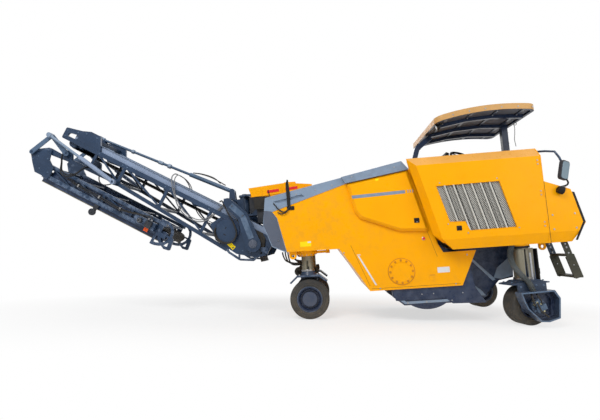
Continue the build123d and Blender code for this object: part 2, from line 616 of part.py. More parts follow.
def build_rim(x, y, z, radius, width, out):
    """Steel rim, dished outwards, with the round hub cap standing in it."""
    half, bore = width / 2, radius * 0.62 - RUNNING_GAP
    axle = AXLE_R + RUNNING_GAP
    disc_in, disc_out = half * 0.15, half * 0.15 + 26
    points = [(-half + 12, bore), (half - 12, bore), (half - 12, bore - 20), (disc_out, bore - 46),
              (disc_out, HUB_R), (half - 34, HUB_R - 8), (half - 34, 0), (half - 60, 0), (half - 60, axle),
              (-half + 30, axle), (-half + 30, HUB_R), (disc_in, HUB_R), (disc_in, bore - 46),
              (-half + 12, bore - 20)]
    points = [(p * out, q) for p, q in points]
    return wheel_profile(points, x, y, z)


def build_front_leg(x, y, z, side):
    """Column, bent crown over the tyre, inboard fork plate and stub axle."""
    half = FRONT_TYRE_W / 2
    top = FRONT_CROWN_Z + CROWN_T
    column = post(x, y, top, COLUMN_TOP_Z - 100, FRONT_COLUMN_R)
    boss = Solid.make_cone(FRONT_COLUMN_R + 32, FRONT_COLUMN_R + 6, 62, Plane((x, y, top)))
    column = union(column, boss)
    column -= block(x - 16, x + 16, y + side * 40, y + side * 130, top + 90, top + 240)
    inner = y - side * (half + 24 + FORK_T)
    outer = y + side * (half - 5)
    y0, y1 = sorted((inner, outer))
    crown = [(x - 190, top), (x + 190, top), (x + 318, top - 112), (x + 296, top - 132), (x + 178, FRONT_CROWN_Z),
             (x - 178, FRONT_CROWN_Z), (x - 296, top - 132), (x - 318, top - 112)]
    pieces = [prism(crown, y0, y1)]
    f0, f1 = sorted((inner, inner + side * FORK_T))
    arm = [(x - 150, FRONT_CROWN_Z + 5), (x + 150, FRONT_CROWN_Z + 5), (x + 118, z + 60), (x + 70, z - 92),
           (x - 70, z - 92), (x - 118, z + 60)]
    pieces.append(prism(arm, f0, f1))
    a0, a1 = sorted((inner, y + side * (half - 62)))
    pieces.append(disc(x, z, a0, a1, AXLE_R))
    m0, m1 = sorted((inner - side * 70, inner))
    pieces.append(disc(x, z, m0, m1, 86))
    return union(column, *pieces)


GUARD = [(300, 225), (-255, 225), (-335, 100), (-295, -195), (-110, -235), (20, -222), (215, -20), (262, 90)]


def build_rear_leg(x, y, z, side):
    """Column, layered crown, outboard fork plate, stub axle and the dished guard round the wheel motor."""
    half = REAR_TYRE_W / 2
    top = REAR_CROWN_Z + CROWN_T
    column = union(post(x, y, top, COLUMN_TOP_Z, REAR_COLUMN_R),
                   block(x - 190, x - 90, y + side * 30, y + side * 52, top, 940))
    column -= block(x - 14, x + 14, y + side * 60, y + side * 160, top + 40, 930)
    inner = y - side * (half - 10)
    plate = y + side * (half + 20)
    y0, y1 = sorted((inner, plate + side * FORK_T))
    crown = [(x - 300, REAR_CROWN_Z), (x + 330, REAR_CROWN_Z), (x + 330, top - 8), (x + 250, top), (x - 230, top),
             (x - 300, top - 12)]
    pieces = [prism(crown, y0, y1), prism([(x - 220, top), (x + 200, top), (x + 150, top + 26), (x - 170, top + 26)],
                                          *sorted((y - side * 140, y + side * 165)))]
    f0, f1 = sorted((plate, plate + side * FORK_T))
    arm = [(x - 240, REAR_CROWN_Z + 5), (x + 240, REAR_CROWN_Z + 5), (x + 200, z - 60), (x + 60, z - 150),
           (x - 140, z - 150), (x - 240, z - 40)]
    pieces.append(prism(arm, f0, f1))
    a0, a1 = sorted((plate, y - side * (half - 62)))
    pieces.append(disc(x, z, a0, a1, AXLE_R))
    depth = 150
    g0, g1 = sorted((plate + side * FORK_T, plate + side * (FORK_T + depth)))
    outer = make_face(Polyline(*[(x + a, z + b) for a, b in GUARD], close=True))
    inner_face = offset(outer, amount=-22, kind=Kind.INTERSECTION)
    here = Plane((0, g0, 0), (1, 0, 0), (0, -1, 0))
    wall = extrude(here * outer, amount=depth, dir=(0, 1, 0)) - extrude(here * inner_face, amount=depth, dir=(0, 1, 0))
    pieces.append(wall)
    m0, m1 = sorted((plate + side * FORK_T, plate + side * (FORK_T + 96)))
    pieces.append(disc(x, z, m0, m1, 118))
    return union(column, *pieces)


# ================================================================ slewing console and bracket
LUG_LOW_Z, LUG_HIGH_Z = 1870.0, 2240.0
LUG_T = 36.0
SLEW_PIN_R = 45.0
ARM_PLANE = (548.0, 604.0)


def build_console_lugs():
    """Fixed arms ahead of the nose that hold the slewing pin."""
    pieces = []
    for z in (LUG_LOW_Z, LUG_HIGH_Z):
        plate = union(block(470, SLEW_XB, -150, 150, z - LUG_T / 2, z + LUG_T / 2),
                      post(SLEW_XB, 0, z - LUG_T / 2, z + LUG_T / 2, 105))
        pieces.append(plate)
    for y in (-130, 130):
        pieces.append(prism([(470, LUG_LOW_Z - 60), (720, LUG_LOW_Z), (980, LUG_LOW_Z), (880, LUG_LOW_Z + 110),
                             (880, LUG_HIGH_Z - 110), (980, LUG_HIGH_Z), (470, LUG_HIGH_Z), (470, 2090)],
                            y - 14, y + 14))
    pieces.append(block(430, 478, -(HULL_Y - SKIN), HULL_Y - SKIN, 1880, 2010))
    lugs = union(*pieces)
    return union(lugs, post(SLEW_XB, 0, LUG_LOW_Z - 40, LUG_HIGH_Z + 40, SLEW_PIN_R))


def build_bracket():
    """Slewing bracket: pivot tube, crossbeam and two cranked arms down to the luffing pivot."""
    tube = post(SLEW_XB, 0, LUG_LOW_Z + LUG_T / 2 + RUNNING_GAP, LUG_HIGH_Z - LUG_T / 2 - RUNNING_GAP, 88)
    mast = to_body(MAST_X, MAST_Z)
    hub = to_body(LUFF_X, LUFF_Z)
    cross_z = 2080.0
    neck = block(SLEW_XB, SLEW_XB + 190, -110, 110, LUG_LOW_Z + 70, LUG_HIGH_Z - 60)
    cross = block(SLEW_XB + 130, SLEW_XB + 260, -ARM_PLANE[1], ARM_PLANE[1], cross_z - 70, cross_z + 70)
    arms = []
    elbow = (hub[0] + 150, hub[1] + 500)
    for y0, y1 in (ARM_PLANE, (-ARM_PLANE[1], -ARM_PLANE[0])):
        arms.append(slot_plate((SLEW_XB + 195, cross_z), elbow, 75, 95, y0, y1))
        arms.append(slot_plate(elbow, hub, 95, 140, y0, y1))
    clevis = []
    for y0, y1 in (CLEVIS_PLANE, (-CLEVIS_PLANE[1], -CLEVIS_PLANE[0])):
        clevis.append(slot_plate((SLEW_XB + 220, cross_z + 30), mast, 70, 48, y0, y1))
    pin = disc(*mast, -CLEVIS_PLANE[1], CLEVIS_PLANE[1], PIVOT_R - 1)
    bracket = union(tube, neck, cross, *arms, *clevis, pin)
    bracket -= post(SLEW_XB, 0, 1700, 2400, SLEW_PIN_R + RUNNING_GAP)
    for side in (1, -1):
        y0, y1 = sorted((side * (SIDE_Y - 60), side * ARM_PLANE[0]))
        bracket = union(bracket, disc(*hub, y0, y1, 60))
    return bracket


# ================================================================ conveyor sections
MAIN_BELT_PATH, MAIN_BELT_R = [(-60, 165), (3880, 165)], 95.0
OUTER_BELT_PATH, OUTER_BELT_R = [(1540, -600), (4040, -600)], 92.0
CHORD_LOW = [(380, -300), (2840, -130), (HINGE_U, HINGE_W)]
POSTS_U = (950, 1850, 2750, 3350)
DIAGONALS = [((1850, 205), (950, -225)), ((2750, 205), (1850, -165)), ((3350, 205), (2750, -110))]
TAIL_PLATE = [(-300, 245), (700, 245), (860, -30), (640, -240), (200, -290), (-160, -190), (-300, -60)]
PORTAL = [(3300, 240), (3440, 500), (3640, 500), (3800, 440), (4110, 376), (4110, 165), (3900, 165)]


def low_chord_w(u):
    """Height of the inner section's lower chord at a station."""
    (u0, w0), (u1, w1), (u2, w2) = CHORD_LOW
    return w0 + (w1 - w0) * (u - u0) / (u1 - u0) if u < u1 else w1 + (w2 - w1) * (u - u1) / (u2 - u1)


def build_boom_main():
    """Inner conveyor section: two lattice side frames, cross tubes, skirts and the end portal."""
    frame0, frame1 = SIDE_Y - CHORD_W / 2, SIDE_Y + CHORD_W / 2
    side = [beam((-250, 205), (3980, 205), SIDE_Y, CHORD_W, CHORD_H)]
    for a, b in zip(CHORD_LOW, CHORD_LOW[1:]):
        side.append(beam(a, b, SIDE_Y, CHORD_W, 64))
    for u in POSTS_U:
        side.append(beam((u, low_chord_w(u)), (u, 205), SIDE_Y, 40, 50))
    for a, b in DIAGONALS:
        side.append(beam(a, b, SIDE_Y, 30, 30))
    side.append(prism(TAIL_PLATE, frame0 + 12, frame1 - 12))
    side.append(slot_plate((3800, low_chord_w(3800)), (HINGE_U, HINGE_W), 34, 60, frame0 + 10, frame1 - 10))
    portal = prism(PORTAL, frame0 + 8, frame1 - 8, 30)
    portal -= slot_plate((3860, 290), (3980, 270), 42, 42, 0, 900)
    side.append(portal)
    side.append(prism([(-240, 160), (3900, 160), (3900, 345), (-240, 345)], frame0 - 14, frame0 + 1))
    side.append(union(disc(530, 0, frame1 - 12, frame1 + 12, 215)))
    side.append(union(disc(ROCKER_U, ROCKER_W, frame0, frame1 + 10, 62),
                      prism([(3700, -140), (3980, -150), (3900, 0), (3780, 0)], frame0 + 10, frame1 - 10)))
    side.append(disc(FOLD_BASE_U, FOLD_BASE_W, frame0, FOLD_CYL_Y - FOLD_BARREL_R - RUNNING_GAP, 50))
    side.append(disc(FOLD_BASE_U, FOLD_BASE_W, frame1, FOLD_CYL_Y + FOLD_EYE_HALF, PIVOT_R - 1))
    side.append(disc(ROCKER_U, ROCKER_W, frame1, ROCKER_PLANE[1], PIVOT_R - 1))
    frame = both(union(*side))
    cross = []
    for u in POSTS_U[:3]:
        cross.append(disc(u, low_chord_w(u), -SIDE_Y, SIDE_Y, 30))
    for u in (100, 700, 1300, 1900, 2500, 3100, 3700):
        cross.append(disc(u, 165, -SIDE_Y, SIDE_Y, 32))
    cross.append(block(3500, 3620, -SIDE_Y, SIDE_Y, 350, 410))
    for y0, y1 in (CLEVIS_PLANE, (-CLEVIS_PLANE[1], -CLEVIS_PLANE[0])):
        cross.append(slot_plate((3590, 380), (PENDANT_U, PENDANT_W), 45, 40, y0, y1))
    cross.append(both(disc(PENDANT_U, PENDANT_W, CLEVIS_PLANE[0], CLEVIS_PLANE[1] + 12, PIVOT_R - 1)))
    for u, w in MAIN_BELT_PATH:
        cross.append(disc(u, w, -frame0 - 5, frame0 + 5, MAIN_BELT_R - BELT_T - RUNNING_GAP))
    boom = union(frame, *cross)
    for y in (-1000, SIDE_Y - 100):
        boom -= disc(0, 0, y, y + 600, 60 + RUNNING_GAP)
        boom -= disc(HINGE_U, HINGE_W, y, y + 600, PIVOT_R + RUNNING_GAP)
    return boom


def build_main_belt():
    return loop_belt(MAIN_BELT_PATH, MAIN_BELT_R, -BELT_HALF, BELT_HALF)


OUTER_CHORDS = [
    # start, end, height
    ((1560, -400), (4060, -400), 60),
    ((1480, -600), (4080, -600), 80),
]
OUTER_POSTS_U = (1620, 2250, 2850, 3450, 4030)


def build_boom_outer():
    """Outer conveyor section, folded back under the inner one."""
    frame0, frame1 = SIDE_Y - CHORD_W / 2, SIDE_Y + CHORD_W / 2
    side = [beam(a, b, SIDE_Y, CHORD_W - 10, h) for a, b, h in OUTER_CHORDS]
    for u in OUTER_POSTS_U:
        side.append(beam((u, -400), (u, -600), SIDE_Y, 36, 50))
    for a, b in zip(OUTER_POSTS_U, OUTER_POSTS_U[1:]):
        side.append(beam((a, -600), (b, -400), SIDE_Y, 26, 26))
    side.append(prism([(1500, -545), (4080, -545), (4080, -725), (1500, -725)], frame0 - 14, frame0 + 6))
    ear = [(HINGE_U - 52, HINGE_W + 30), (HINGE_U + 10, HINGE_W + 60), (EAR_U + 30, EAR_W + 45),
           (EAR_U + 48, EAR_W - 20), (EAR_U - 70, EAR_W - 170), (4230, -620), (3940, -620), (3940, -400), (4080, -300)]
    side.append(prism(ear, *EAR_PLANE, 12))
    side.append(prism([(3960, -640), (4080, -640), (4080, -380), (3960, -380)], frame1 - 10, EAR_PLANE[0] + 2))
    side.append(disc(HINGE_U, HINGE_W, frame0 - 6, EAR_PLANE[1] + 4, PIVOT_R))
    side.append(disc(EAR_U, EAR_W, EAR_PLANE[0], LINK_PLANE[1] + 4, PIVOT_R - 1))
    ring = [(1330, -560), (1300, -780), (1420, -800), (1560, -730), (1620, -640), (1560, -560)]
    hole = [(1400, -590), (1375, -745), (1430, -750), (1520, -700), (1560, -640), (1530, -590)]
    guard = prism(ring, frame0 + 15, frame1 - 15, 30) - prism(hole, frame0, frame1, 20)
    side.append(guard)
    frame = both(union(*side))
    cross = [disc(u, -440, -SIDE_Y, SIDE_Y, 28) for u in OUTER_POSTS_U]
    cross += [disc(u, -600, -SIDE_Y, SIDE_Y, 30) for u in (1900, 2600, 3200, 3800)]
    for u, w in OUTER_BELT_PATH:
        cross.append(disc(u, w, -frame0 - 5, frame0 + 5, OUTER_BELT_R - BELT_T - RUNNING_GAP))
    motor = block(1700, 2120, SIDE_Y + 20, SIDE_Y + 120, -590, -450)
    return union(frame, *cross, motor)


def build_outer_belt():
    return loop_belt(OUTER_BELT_PATH, OUTER_BELT_R, -BELT_HALF, BELT_HALF)


def build_rockers():
    plate = slot_plate((ROCKER_U, ROCKER_W), (PIN_U, PIN_W), 48, 40, *ROCKER_PLANE)
    plate -= disc(ROCKER_U, ROCKER_W, 500, 700, PIVOT_R - 1 + RUNNING_GAP)
    return both(plate)


def build_links():
    plate = slot_plate((EAR_U, EAR_W), (PIN_U, PIN_W), 42, 38, *LINK_PLANE)
    plate -= disc(EAR_U, EAR_W, 500, 700, PIVOT_R - 1 + RUNNING_GAP)
    return both(plate)


def cylinder_pieces(base, tip, y, barrel_r, rod_r, barrel_len, rod_from, eye_half, pin_r, eye_r):
    """Barrel and rod of a hydraulic cylinder between two (x, z) points, in the plane y."""
    ax, az = base
    bx, bz = tip
    length = math.hypot(bx - ax, bz - az)
    dx, dz = (bx - ax) / length, (bz - az) / length

    def at(distance):
        return (ax + dx * distance, y, az + dz * distance)

    bore = rod_r + RUNNING_GAP
    foot = eye_r * 0.7
    barrel = union(rod(at(foot), at(barrel_len), barrel_r), disc(ax, az, y - eye_half, y + eye_half, eye_r))
    barrel -= rod(at(foot + 60), at(barrel_len + 10), bore)
    barrel -= disc(ax, az, y - eye_half - 5, y + eye_half + 5, pin_r + RUNNING_GAP)
    ram = union(rod(at(rod_from), at(length), rod_r), disc(bx, bz, y - eye_half, y + eye_half, eye_r))
    return barrel, ram


def build_fold_cylinders():
    base, tip = (FOLD_BASE_U, FOLD_BASE_W), (PIN_U, PIN_W)
    barrel, ram = cylinder_pieces(base, tip, FOLD_CYL_Y, FOLD_BARREL_R, FOLD_ROD_R, 780, 735,
                                  FOLD_EYE_HALF, PIVOT_R - 1, 44)
    return both(barrel), both(ram)


LUFF_BARREL_LEN = 900.0


def build_luff_cylinder():
    """Luffing cylinder and the stay bar on its rod, in the ground frame."""
    tip = from_boom(PENDANT_U, 0, PENDANT_W)
    return cylinder_pieces((MAST_X, MAST_Z), (tip.X, tip.Z), 0, LUFF_BARREL_R, LUFF_ROD_R, LUFF_BARREL_LEN,
                           LUFF_BARREL_LEN - 360, LUFF_EYE_HALF, PIVOT_R - 1, 46)


HOOD = [(980, 2340), (930, 2180), (600, 2165), (470, 2110), (380, 1990), (340, 1804.8), (-200, 1966.6), (-180, 2330),
        (300, 2390)]
HOOD_HALF = 330.0
HOOD_SKIN = 14.0


def build_hood():
    """Yellow guard over the transfer point, open below and in front."""
    shell = prism(HOOD, -HOOD_HALF, HOOD_HALF)
    hollow = [(1100, 2342 - HOOD_SKIN), (1100, 1700), (-186, 1700), (-166, 2330 - HOOD_SKIN), (300, 2390 - HOOD_SKIN),
              (980, 2340 - HOOD_SKIN)]
    return shell - prism(hollow, -HOOD_HALF + HOOD_SKIN, HOOD_HALF - HOOD_SKIN)


# ================================================================ assembly
def build_nodes():
    """Every node by name, in the ground frame."""
    body = {
        "hull": build_hull(),
        "nose_trim": build_trim(),
        "housing": build_housing(),
        "engine": build_engine(),
        "console": build_console(),
        "seat": build_seat(),
        "roof": build_roof(),
        "roof_frame": build_roof_frame(),
        "ladder": build_ladder(),
        "mirrors": build_mirrors(),
        "drum_box": build_drum_box(),
        "drum": Compound([build_drum()] + build_picks()),
        "edge_plates": build_edge_plates(),
        "primary_conveyor": build_primary(),
        "primary_belt": build_primary_belt(),
        "slew_console": build_console_lugs(),
        "slew_bracket": build_bracket(),
        "transfer_hood": build_hood(),
    }
    for name, side in (("left", 1), ("right", -1)):
        body[f"service_door_{name}"] = build_service_door(side)
        body[f"side_door_{name}"] = build_side_door(side)
        body[f"louvre_{name}"] = build_louvre(side)
    for name, side, y, radius, width, steer in WHEELS:
        x, z = front_axis() if name.startswith("front") else rear_axis()
        leg = build_front_leg if name.startswith("front") else build_rear_leg
        parts = {
            f"{name}_leg": leg(x, side * y, z, side),
            f"{name}_tyre": build_tyre(x, side * y, z, radius, width, side),
            f"{name}_rim": build_rim(x, side * y, z, radius, width, side if name.startswith("front") else -side),
        }
        for key, shape in parts.items():
            body[key] = turned(shape, x, side * y, steer)
    nodes = {name: BODY * shape for name, shape in body.items()}
    fold_barrel, fold_ram = build_fold_cylinders()
    boom = {
        "boom_main": build_boom_main(),
        "main_belt": build_main_belt(),
        "boom_outer": build_boom_outer(),
        "outer_belt": build_outer_belt(),
        "fold_rockers": build_rockers(),
        "fold_links": build_links(),
        "fold_barrels": fold_barrel,
        "fold_rams": fold_ram,
    }
    nodes.update({name: BOOM * shape for name, shape in boom.items()})
    nodes["luff_barrel"], nodes["luff_ram"] = build_luff_cylinder()
    return nodes


def origin_shift(nodes):
    """The move that puts the origin at the bottom centre of the whole machine."""
    boxes = [shape.bounding_box() for shape in nodes.values()]
    x = (min(b.min.X for b in boxes) + max(b.max.X for b in boxes)) / 2
    y = (min(b.min.Y for b in boxes) + max(b.max.Y for b in boxes)) / 2
    return Vector(-x, -y, -min(b.min.Z for b in boxes))


def main():
    os.makedirs("parts", exist_ok=True)
    nodes = build_nodes()
    shift = Pos(*origin_shift(nodes))
    for name, shape in nodes.items():
        export_step(shift * shape, f"parts/{name}.step")


if __name__ == "__main__":
    main()
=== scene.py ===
"""Looks of the cold planer: finishes, small hardware, hoses, belts, tyres and the studio round it."""
import json
import math

import bmesh
import bpy
from mathutils import Matrix, Vector


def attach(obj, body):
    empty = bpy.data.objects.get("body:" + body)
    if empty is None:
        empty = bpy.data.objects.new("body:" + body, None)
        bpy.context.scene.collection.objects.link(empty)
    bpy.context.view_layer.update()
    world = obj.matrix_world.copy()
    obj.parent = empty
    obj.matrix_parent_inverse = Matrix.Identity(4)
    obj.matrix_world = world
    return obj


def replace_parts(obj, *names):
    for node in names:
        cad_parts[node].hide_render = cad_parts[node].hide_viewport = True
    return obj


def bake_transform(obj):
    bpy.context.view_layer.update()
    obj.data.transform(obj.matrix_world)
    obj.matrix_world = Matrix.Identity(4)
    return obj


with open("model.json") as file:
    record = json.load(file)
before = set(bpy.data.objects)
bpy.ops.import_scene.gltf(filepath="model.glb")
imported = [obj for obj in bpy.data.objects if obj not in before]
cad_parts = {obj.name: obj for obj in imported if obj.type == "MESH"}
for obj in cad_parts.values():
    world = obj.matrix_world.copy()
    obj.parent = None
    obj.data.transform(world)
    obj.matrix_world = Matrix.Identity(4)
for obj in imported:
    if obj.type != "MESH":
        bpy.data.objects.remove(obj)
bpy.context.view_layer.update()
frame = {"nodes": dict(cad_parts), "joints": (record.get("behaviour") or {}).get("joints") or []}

# ------------------------------------------------------------------ frames
# Three drawing frames in millimetres.  Each matrix carries its points to the row frame in metres.
MM = 0.001
PITCH = math.radians(4.0)                 # nose-down lean of the body
BOOM_RISE = math.radians(26.4)            # rise of the parked conveyor
BOOM_AT = Vector((1000.0, 0.0, 1250.0))   # the conveyor frame's origin, from the front axle's ground point
MAST = Vector((1500.0, 0.0, 2250.0))      # foot of the luffing cylinder
MAST_TIP = BOOM_AT + Matrix.Rotation(-BOOM_RISE, 3, "Y") @ Vector((3733, 0, 458))    # far end of its stay bar
ORIGIN = next(j for j in frame["joints"] if j["name"] == "luff_barrel_turn")["pos_m"]
SHIFT = Vector(ORIGIN) - MAST * MM        # from the drawing's origin to the row frame's


def frame_matrix(turn, at):
    """Millimetres in a frame turned about Y and moved, as metres in the row frame."""
    return Matrix.Translation(SHIFT + Vector(at) * MM) @ Matrix.Rotation(turn, 4, "Y") @ Matrix.Scale(MM, 4)


GROUND = frame_matrix(0.0, (0, 0, 0))
BODY = frame_matrix(PITCH, (0, 0, 0))
BOOM = frame_matrix(-BOOM_RISE, BOOM_AT)
FRONT_AXLE = (-23.0, 660.0, 329.2)        # body frame
REAR_AXLE = (-3393.5, 1020.0, 75.6)
REAR_TURN = math.radians(12.0)
ROOF_MIDDLE, ROOF_HALF = -3120, 810       # the canopy along x
FRAME_OF = {"boom_inner": BOOM, "boom_outer": BOOM, "luff_barrel": GROUND, "luff_ram": GROUND}
SIDES = (("left", 1), ("right", -1))


def sided(side):
    """The body frame, or for the right side its mirror image, so that +Y runs outwards."""
    return BODY @ Matrix.Diagonal((1, side, 1, 1))


def leg_frame(axle, side, turn):
    """Frame with its origin on a leg's axis at axle height; +Y runs to the leg's own outer side."""
    return sided(side) @ Matrix.Translation(axle) @ Matrix.Rotation(turn * side, 4, "Z")


# ------------------------------------------------------------------ mesh kit
def smooth_path(points, steps=6):
    """Catmull-Rom curve through the points."""
    p = [Vector(q) for q in points]
    p = [p[0] * 2 - p[1]] + p + [p[-1] * 2 - p[-2]]
    out = []
    for a, b, c, d in zip(p, p[1:], p[2:], p[3:]):
        for i in range(steps):
            t = i / steps
            out.append(0.5 * ((2 * b) + (c - a) * t + (2 * a - 5 * b + 4 * c - d) * t * t
                              + (3 * b - a - 3 * c + d) * t ** 3))
    return out + [p[-2]]


def closed(loop):
    return loop + loop[:1]


def moved(line, dx, dz):
    return [(x + dx, z + dz) for x, z in line]


def scaled(line, share, centre=(0, 0)):
    return [tuple(c + (p - c) * share for p, c in zip(point, centre)) for point in line]


def across(axis):
    """Two unit vectors square to an axis."""
    axis = Vector(axis).normalized()
    first = axis.cross(Vector((0, 0, 1)) if abs(axis.z) < 0.9 else Vector((1, 0, 0))).normalized()
    return first, axis.cross(first)


def circle(u, v, steps):
    """Unit vectors round a circle in the plane of u and v."""
    return [u * math.cos(a) + v * math.sin(a) for a in (2 * math.pi * k / steps for k in range(steps))]


def round_about(axis, steps):
    return circle(*across(axis), steps)


OUT, UP, DOWN = (0, 1, 0), (0, 0, 1), (0, 0, -1)     # axes of most turned forms; OUT is the machine's left
CORE, FINE_CORE = 0.1, 0.01               # radius left open where a turned solid closes on its axis
WASHER = 2.0                              # thickness


class Piece:
    """One scene object that gathers shells drawn in a frame and rides on a CAD body.

    With twins, each shell is added with its mirror image on the machine's other side.  A piece whose body is
    None rides on nothing: its builder bakes its placement into the mesh.  Pieces that nobody builds wait for
    the end of the script.
    """
    waiting = []

    def __init__(self, name, material, body="chassis", at=None, slot=None, bevel=0.0, smooth=35, twins=False):
        self.name, self.body, self.material = name, body, material
        self.at = FRAME_OF.get(body, BODY) if at is None else at
        self.slot, self.bevel, self.smooth, self.twins = slot, bevel, smooth, twins
        self.verts, self.faces = [], []
        Piece.waiting.append(self)

    def shell(self, verts, faces):
        for flip in (1, -1) if self.twins else (1,):
            base = len(self.verts)
            self.verts += [Vector((x, y * flip, z)) for x, y, z in verts]
            self.faces += [[base + i for i in f] for f in faces]

    def box(self, x0, x1, y0, y1, z0, z1):
        self.plate([(x0, z0), (x1, z0), (x1, z1), (x0, z1)], y0, y1)

    def slab(self, outline, push):
        """A flat outline of points pushed along a vector."""
        n, push = len(outline), Vector(push)
        low = [Vector(p) for p in outline]
        faces = [tuple(range(n))[::-1], tuple(range(n, 2 * n))]
        faces += [(i, (i + 1) % n, n + (i + 1) % n, n + i) for i in range(n)]
        self.shell(low + [p + push for p in low], faces)

    def plate(self, outline, y0, y1):
        """An x-z outline between two y planes."""
        self.slab([(x, y0, z) for x, z in outline], (0, y1 - y0, 0))

    def band(self, outer, inner, y0, y1):
        """The strip between two x-z lines that have as many points, as one plate for each step."""
        for corners in zip(outer, outer[1:], inner[1:], inner):
            self.plate(corners, y0, y1)

    def bar(self, a, b, width, height):
        """A square bar from a to b."""
        a, b = Vector(a), Vector(b)
        u, v = (w * size / 2 for w, size in zip(across(b - a), (width, height)))
        self.slab([a + u + v, a - u + v, a - u - v, a + u - v], b - a)

    def lathe(self, profile, origin, axis=OUT, steps=32):
        """A profile of (distance along the axis, radius) turned about the axis."""
        origin, axis = Vector(origin), Vector(axis).normalized()
        n = len(profile)
        verts = [origin + axis * d + out * r for out in round_about(axis, steps) for d, r in profile]
        faces = [(i * n + k, i * n + k + 1, (i + 1) % steps * n + k + 1, (i + 1) % steps * n + k)
                 for i in range(steps) for k in range(n - 1)]
        self.shell(verts, faces)

    def dome(self, profile, origin, axis=OUT, steps=32, core=CORE):
        """A turned solid: the profile closes towards the axis at both ends."""
        self.lathe([(profile[0][0], core), *profile, (profile[-1][0], core)], origin, axis, steps)

    def disc(self, origin, radius, height, axis=OUT, steps=24):
        self.dome([(0, radius), (height, radius)], origin, axis, steps, FINE_CORE)

    def bolt(self, origin, axis=OUT, radius=9.0):
        """Hexagon head on a washer."""
        self.disc(origin, radius * 1.5, WASHER, axis, 16)
        self.lathe([(WASHER, radius), (WASHER + radius * 0.9, radius), (WASHER + radius * 1.1, radius * 0.85),
                    (WASHER + radius * 1.1, FINE_CORE)], origin, axis, 6)

    def bolts(self, points, axis=OUT, radius=9.0):
        for p in points:
            self.bolt(p, axis, radius)

    def studs(self, y, points, radius=9.0):
        """Bolts that face outwards, at x-z points on a sheet's outer face."""
        self.bolts([(x, y, z) for x, z in points], radius=radius)

    def ring(self, origin, pitch_radius, count, radius=9.0, axis=OUT):
        """Bolts round a circle."""
        self.bolts([Vector(origin) + out * pitch_radius for out in round_about(axis, count)], axis, radius)

    def tube(self, points, radius, sides=10, steps=6, ribs=0.0, curved=True):
        """Round tube along a smooth path; ribs is the depth of a corrugated hose's rings."""
        path = smooth_path(points, steps) if curved else [Vector(p) for p in points]
        if ribs:
            path = smooth_path(path, 3)
        u, _ = across(path[1] - path[0])
        verts = []
        for i, p in enumerate(path):
            ahead = (path[min(i + 1, len(path) - 1)] - path[max(i - 1, 0)]).normalized()
            u = (u - ahead * u.dot(ahead)).normalized()
            r = radius - (ribs if i % 2 else 0.0)
            verts += [p + out * r for out in circle(u, ahead.cross(u), sides)]
        n = len(path)
        faces = [(i * sides + k, i * sides + (k + 1) % sides, (i + 1) * sides + (k + 1) % sides,
                  (i + 1) * sides + k) for i in range(n - 1) for k in range(sides)]
        faces += [tuple(range(sides))[::-1], tuple((n - 1) * sides + k for k in range(sides))]
        self.shell(verts, faces)

    def build(self):
        Piece.waiting.remove(self)
        mesh = bpy.data.meshes.new(self.name)
        mesh.from_pydata([self.at @ v for v in self.verts], [], self.faces)
        mesh.validate()
        work = bmesh.new()
        work.from_mesh(mesh)
        bmesh.ops.recalc_face_normals(work, faces=work.faces)
        work.to_mesh(mesh)
        work.free()
        obj = bpy.data.objects.new(self.name, mesh)
        bpy.context.scene.collection.objects.link(obj)
        bpy.context.view_layer.objects.active = obj
        mesh.materials.append(self.material)
        mesh.polygons.foreach_set("use_smooth", [True] * len(mesh.polygons))
        mesh.set_sharp_from_angle(angle=math.radians(self.smooth))
        if self.bevel:
            add_bevel(obj, self.bevel)
        if self.body:
            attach(obj, self.body)
        return obj


def pair(*args, **settings):
    """A piece with its mirror image."""
    return Piece(*args, twins=True, **settings)


def add_bevel(obj, width):
    """Small rounded edges, so that corners catch light."""
    mod = obj.modifiers.new("edges", "BEVEL")
    mod.width, mod.segments, mod.limit_method, mod.angle_limit = width, 2, "ANGLE", math.radians(38)
    mod.harden_normals = True


# ------------------------------------------------------------------ materials
class Shader:
    """The node tree of a material or world, with short names for the nodes used here."""

    def __init__(self, owner):
        owner.use_nodes = True
        self.nodes, self.links = owner.node_tree.nodes, owner.node_tree.links

    def feed(self, node, values):
        """Values or other nodes' sockets into a node's inputs."""
        for key, value in values.items():
            if isinstance(value, bpy.types.NodeSocket):
                self.links.new(value, node.inputs[key])
            else:
                node.inputs[key].default_value = value

    def add(self, kind, values, **settings):
        node = self.nodes.new("ShaderNode" + kind)
        for key, value in settings.items():
            setattr(node, key, value)
        self.feed(node, values)
        return node

    def place(self):
        return self.add("TexCoord", {}).outputs["Object"]

    def noise(self, scale, detail, rough=0.55):
        values = {"Vector": self.place(), "Scale": scale, "Detail": detail, "Roughness": rough}
        return self.add("TexNoise", values).outputs["Fac"]

    def mapped(self, source, low, high, to_low, to_high):
        values = {"Value": source, "From Min": low, "From Max": high, "To Min": to_low, "To Max": to_high}
        return self.add("MapRange", values).outputs["Result"]

    def blended(self, factor, a, b):
        """Mix of two colours."""
        return self.add("Mix", {0: factor, 6: a, 7: b}, data_type="RGBA").outputs[2]

    def product(self, a, b):
        return self.add("Math", {0: a, 1: b}, operation="MULTIPLY").outputs[0]

    def bump(self, height, strength, distance):
        return self.add("Bump", {"Height": height, "Strength": strength,
                                 "Distance": distance}).outputs["Normal"]

    def seen_directly(self):
        """1 for rays from the camera and for those that a reflection or glass sends on, else 0."""
        path = self.add("LightPath", {})
        total = path.outputs["Is Camera Ray"]
        for ray in ("Is Glossy Ray", "Is Transmission Ray"):
            total = self.add("Math", {0: total, 1: path.outputs[ray]}, operation="ADD",
                             use_clamp=True).outputs[0]
        return total


def new_material(name):
    mat = bpy.data.materials.new(name)
    shader = Shader(mat)
    return mat, shader, shader.nodes["Principled BSDF"]


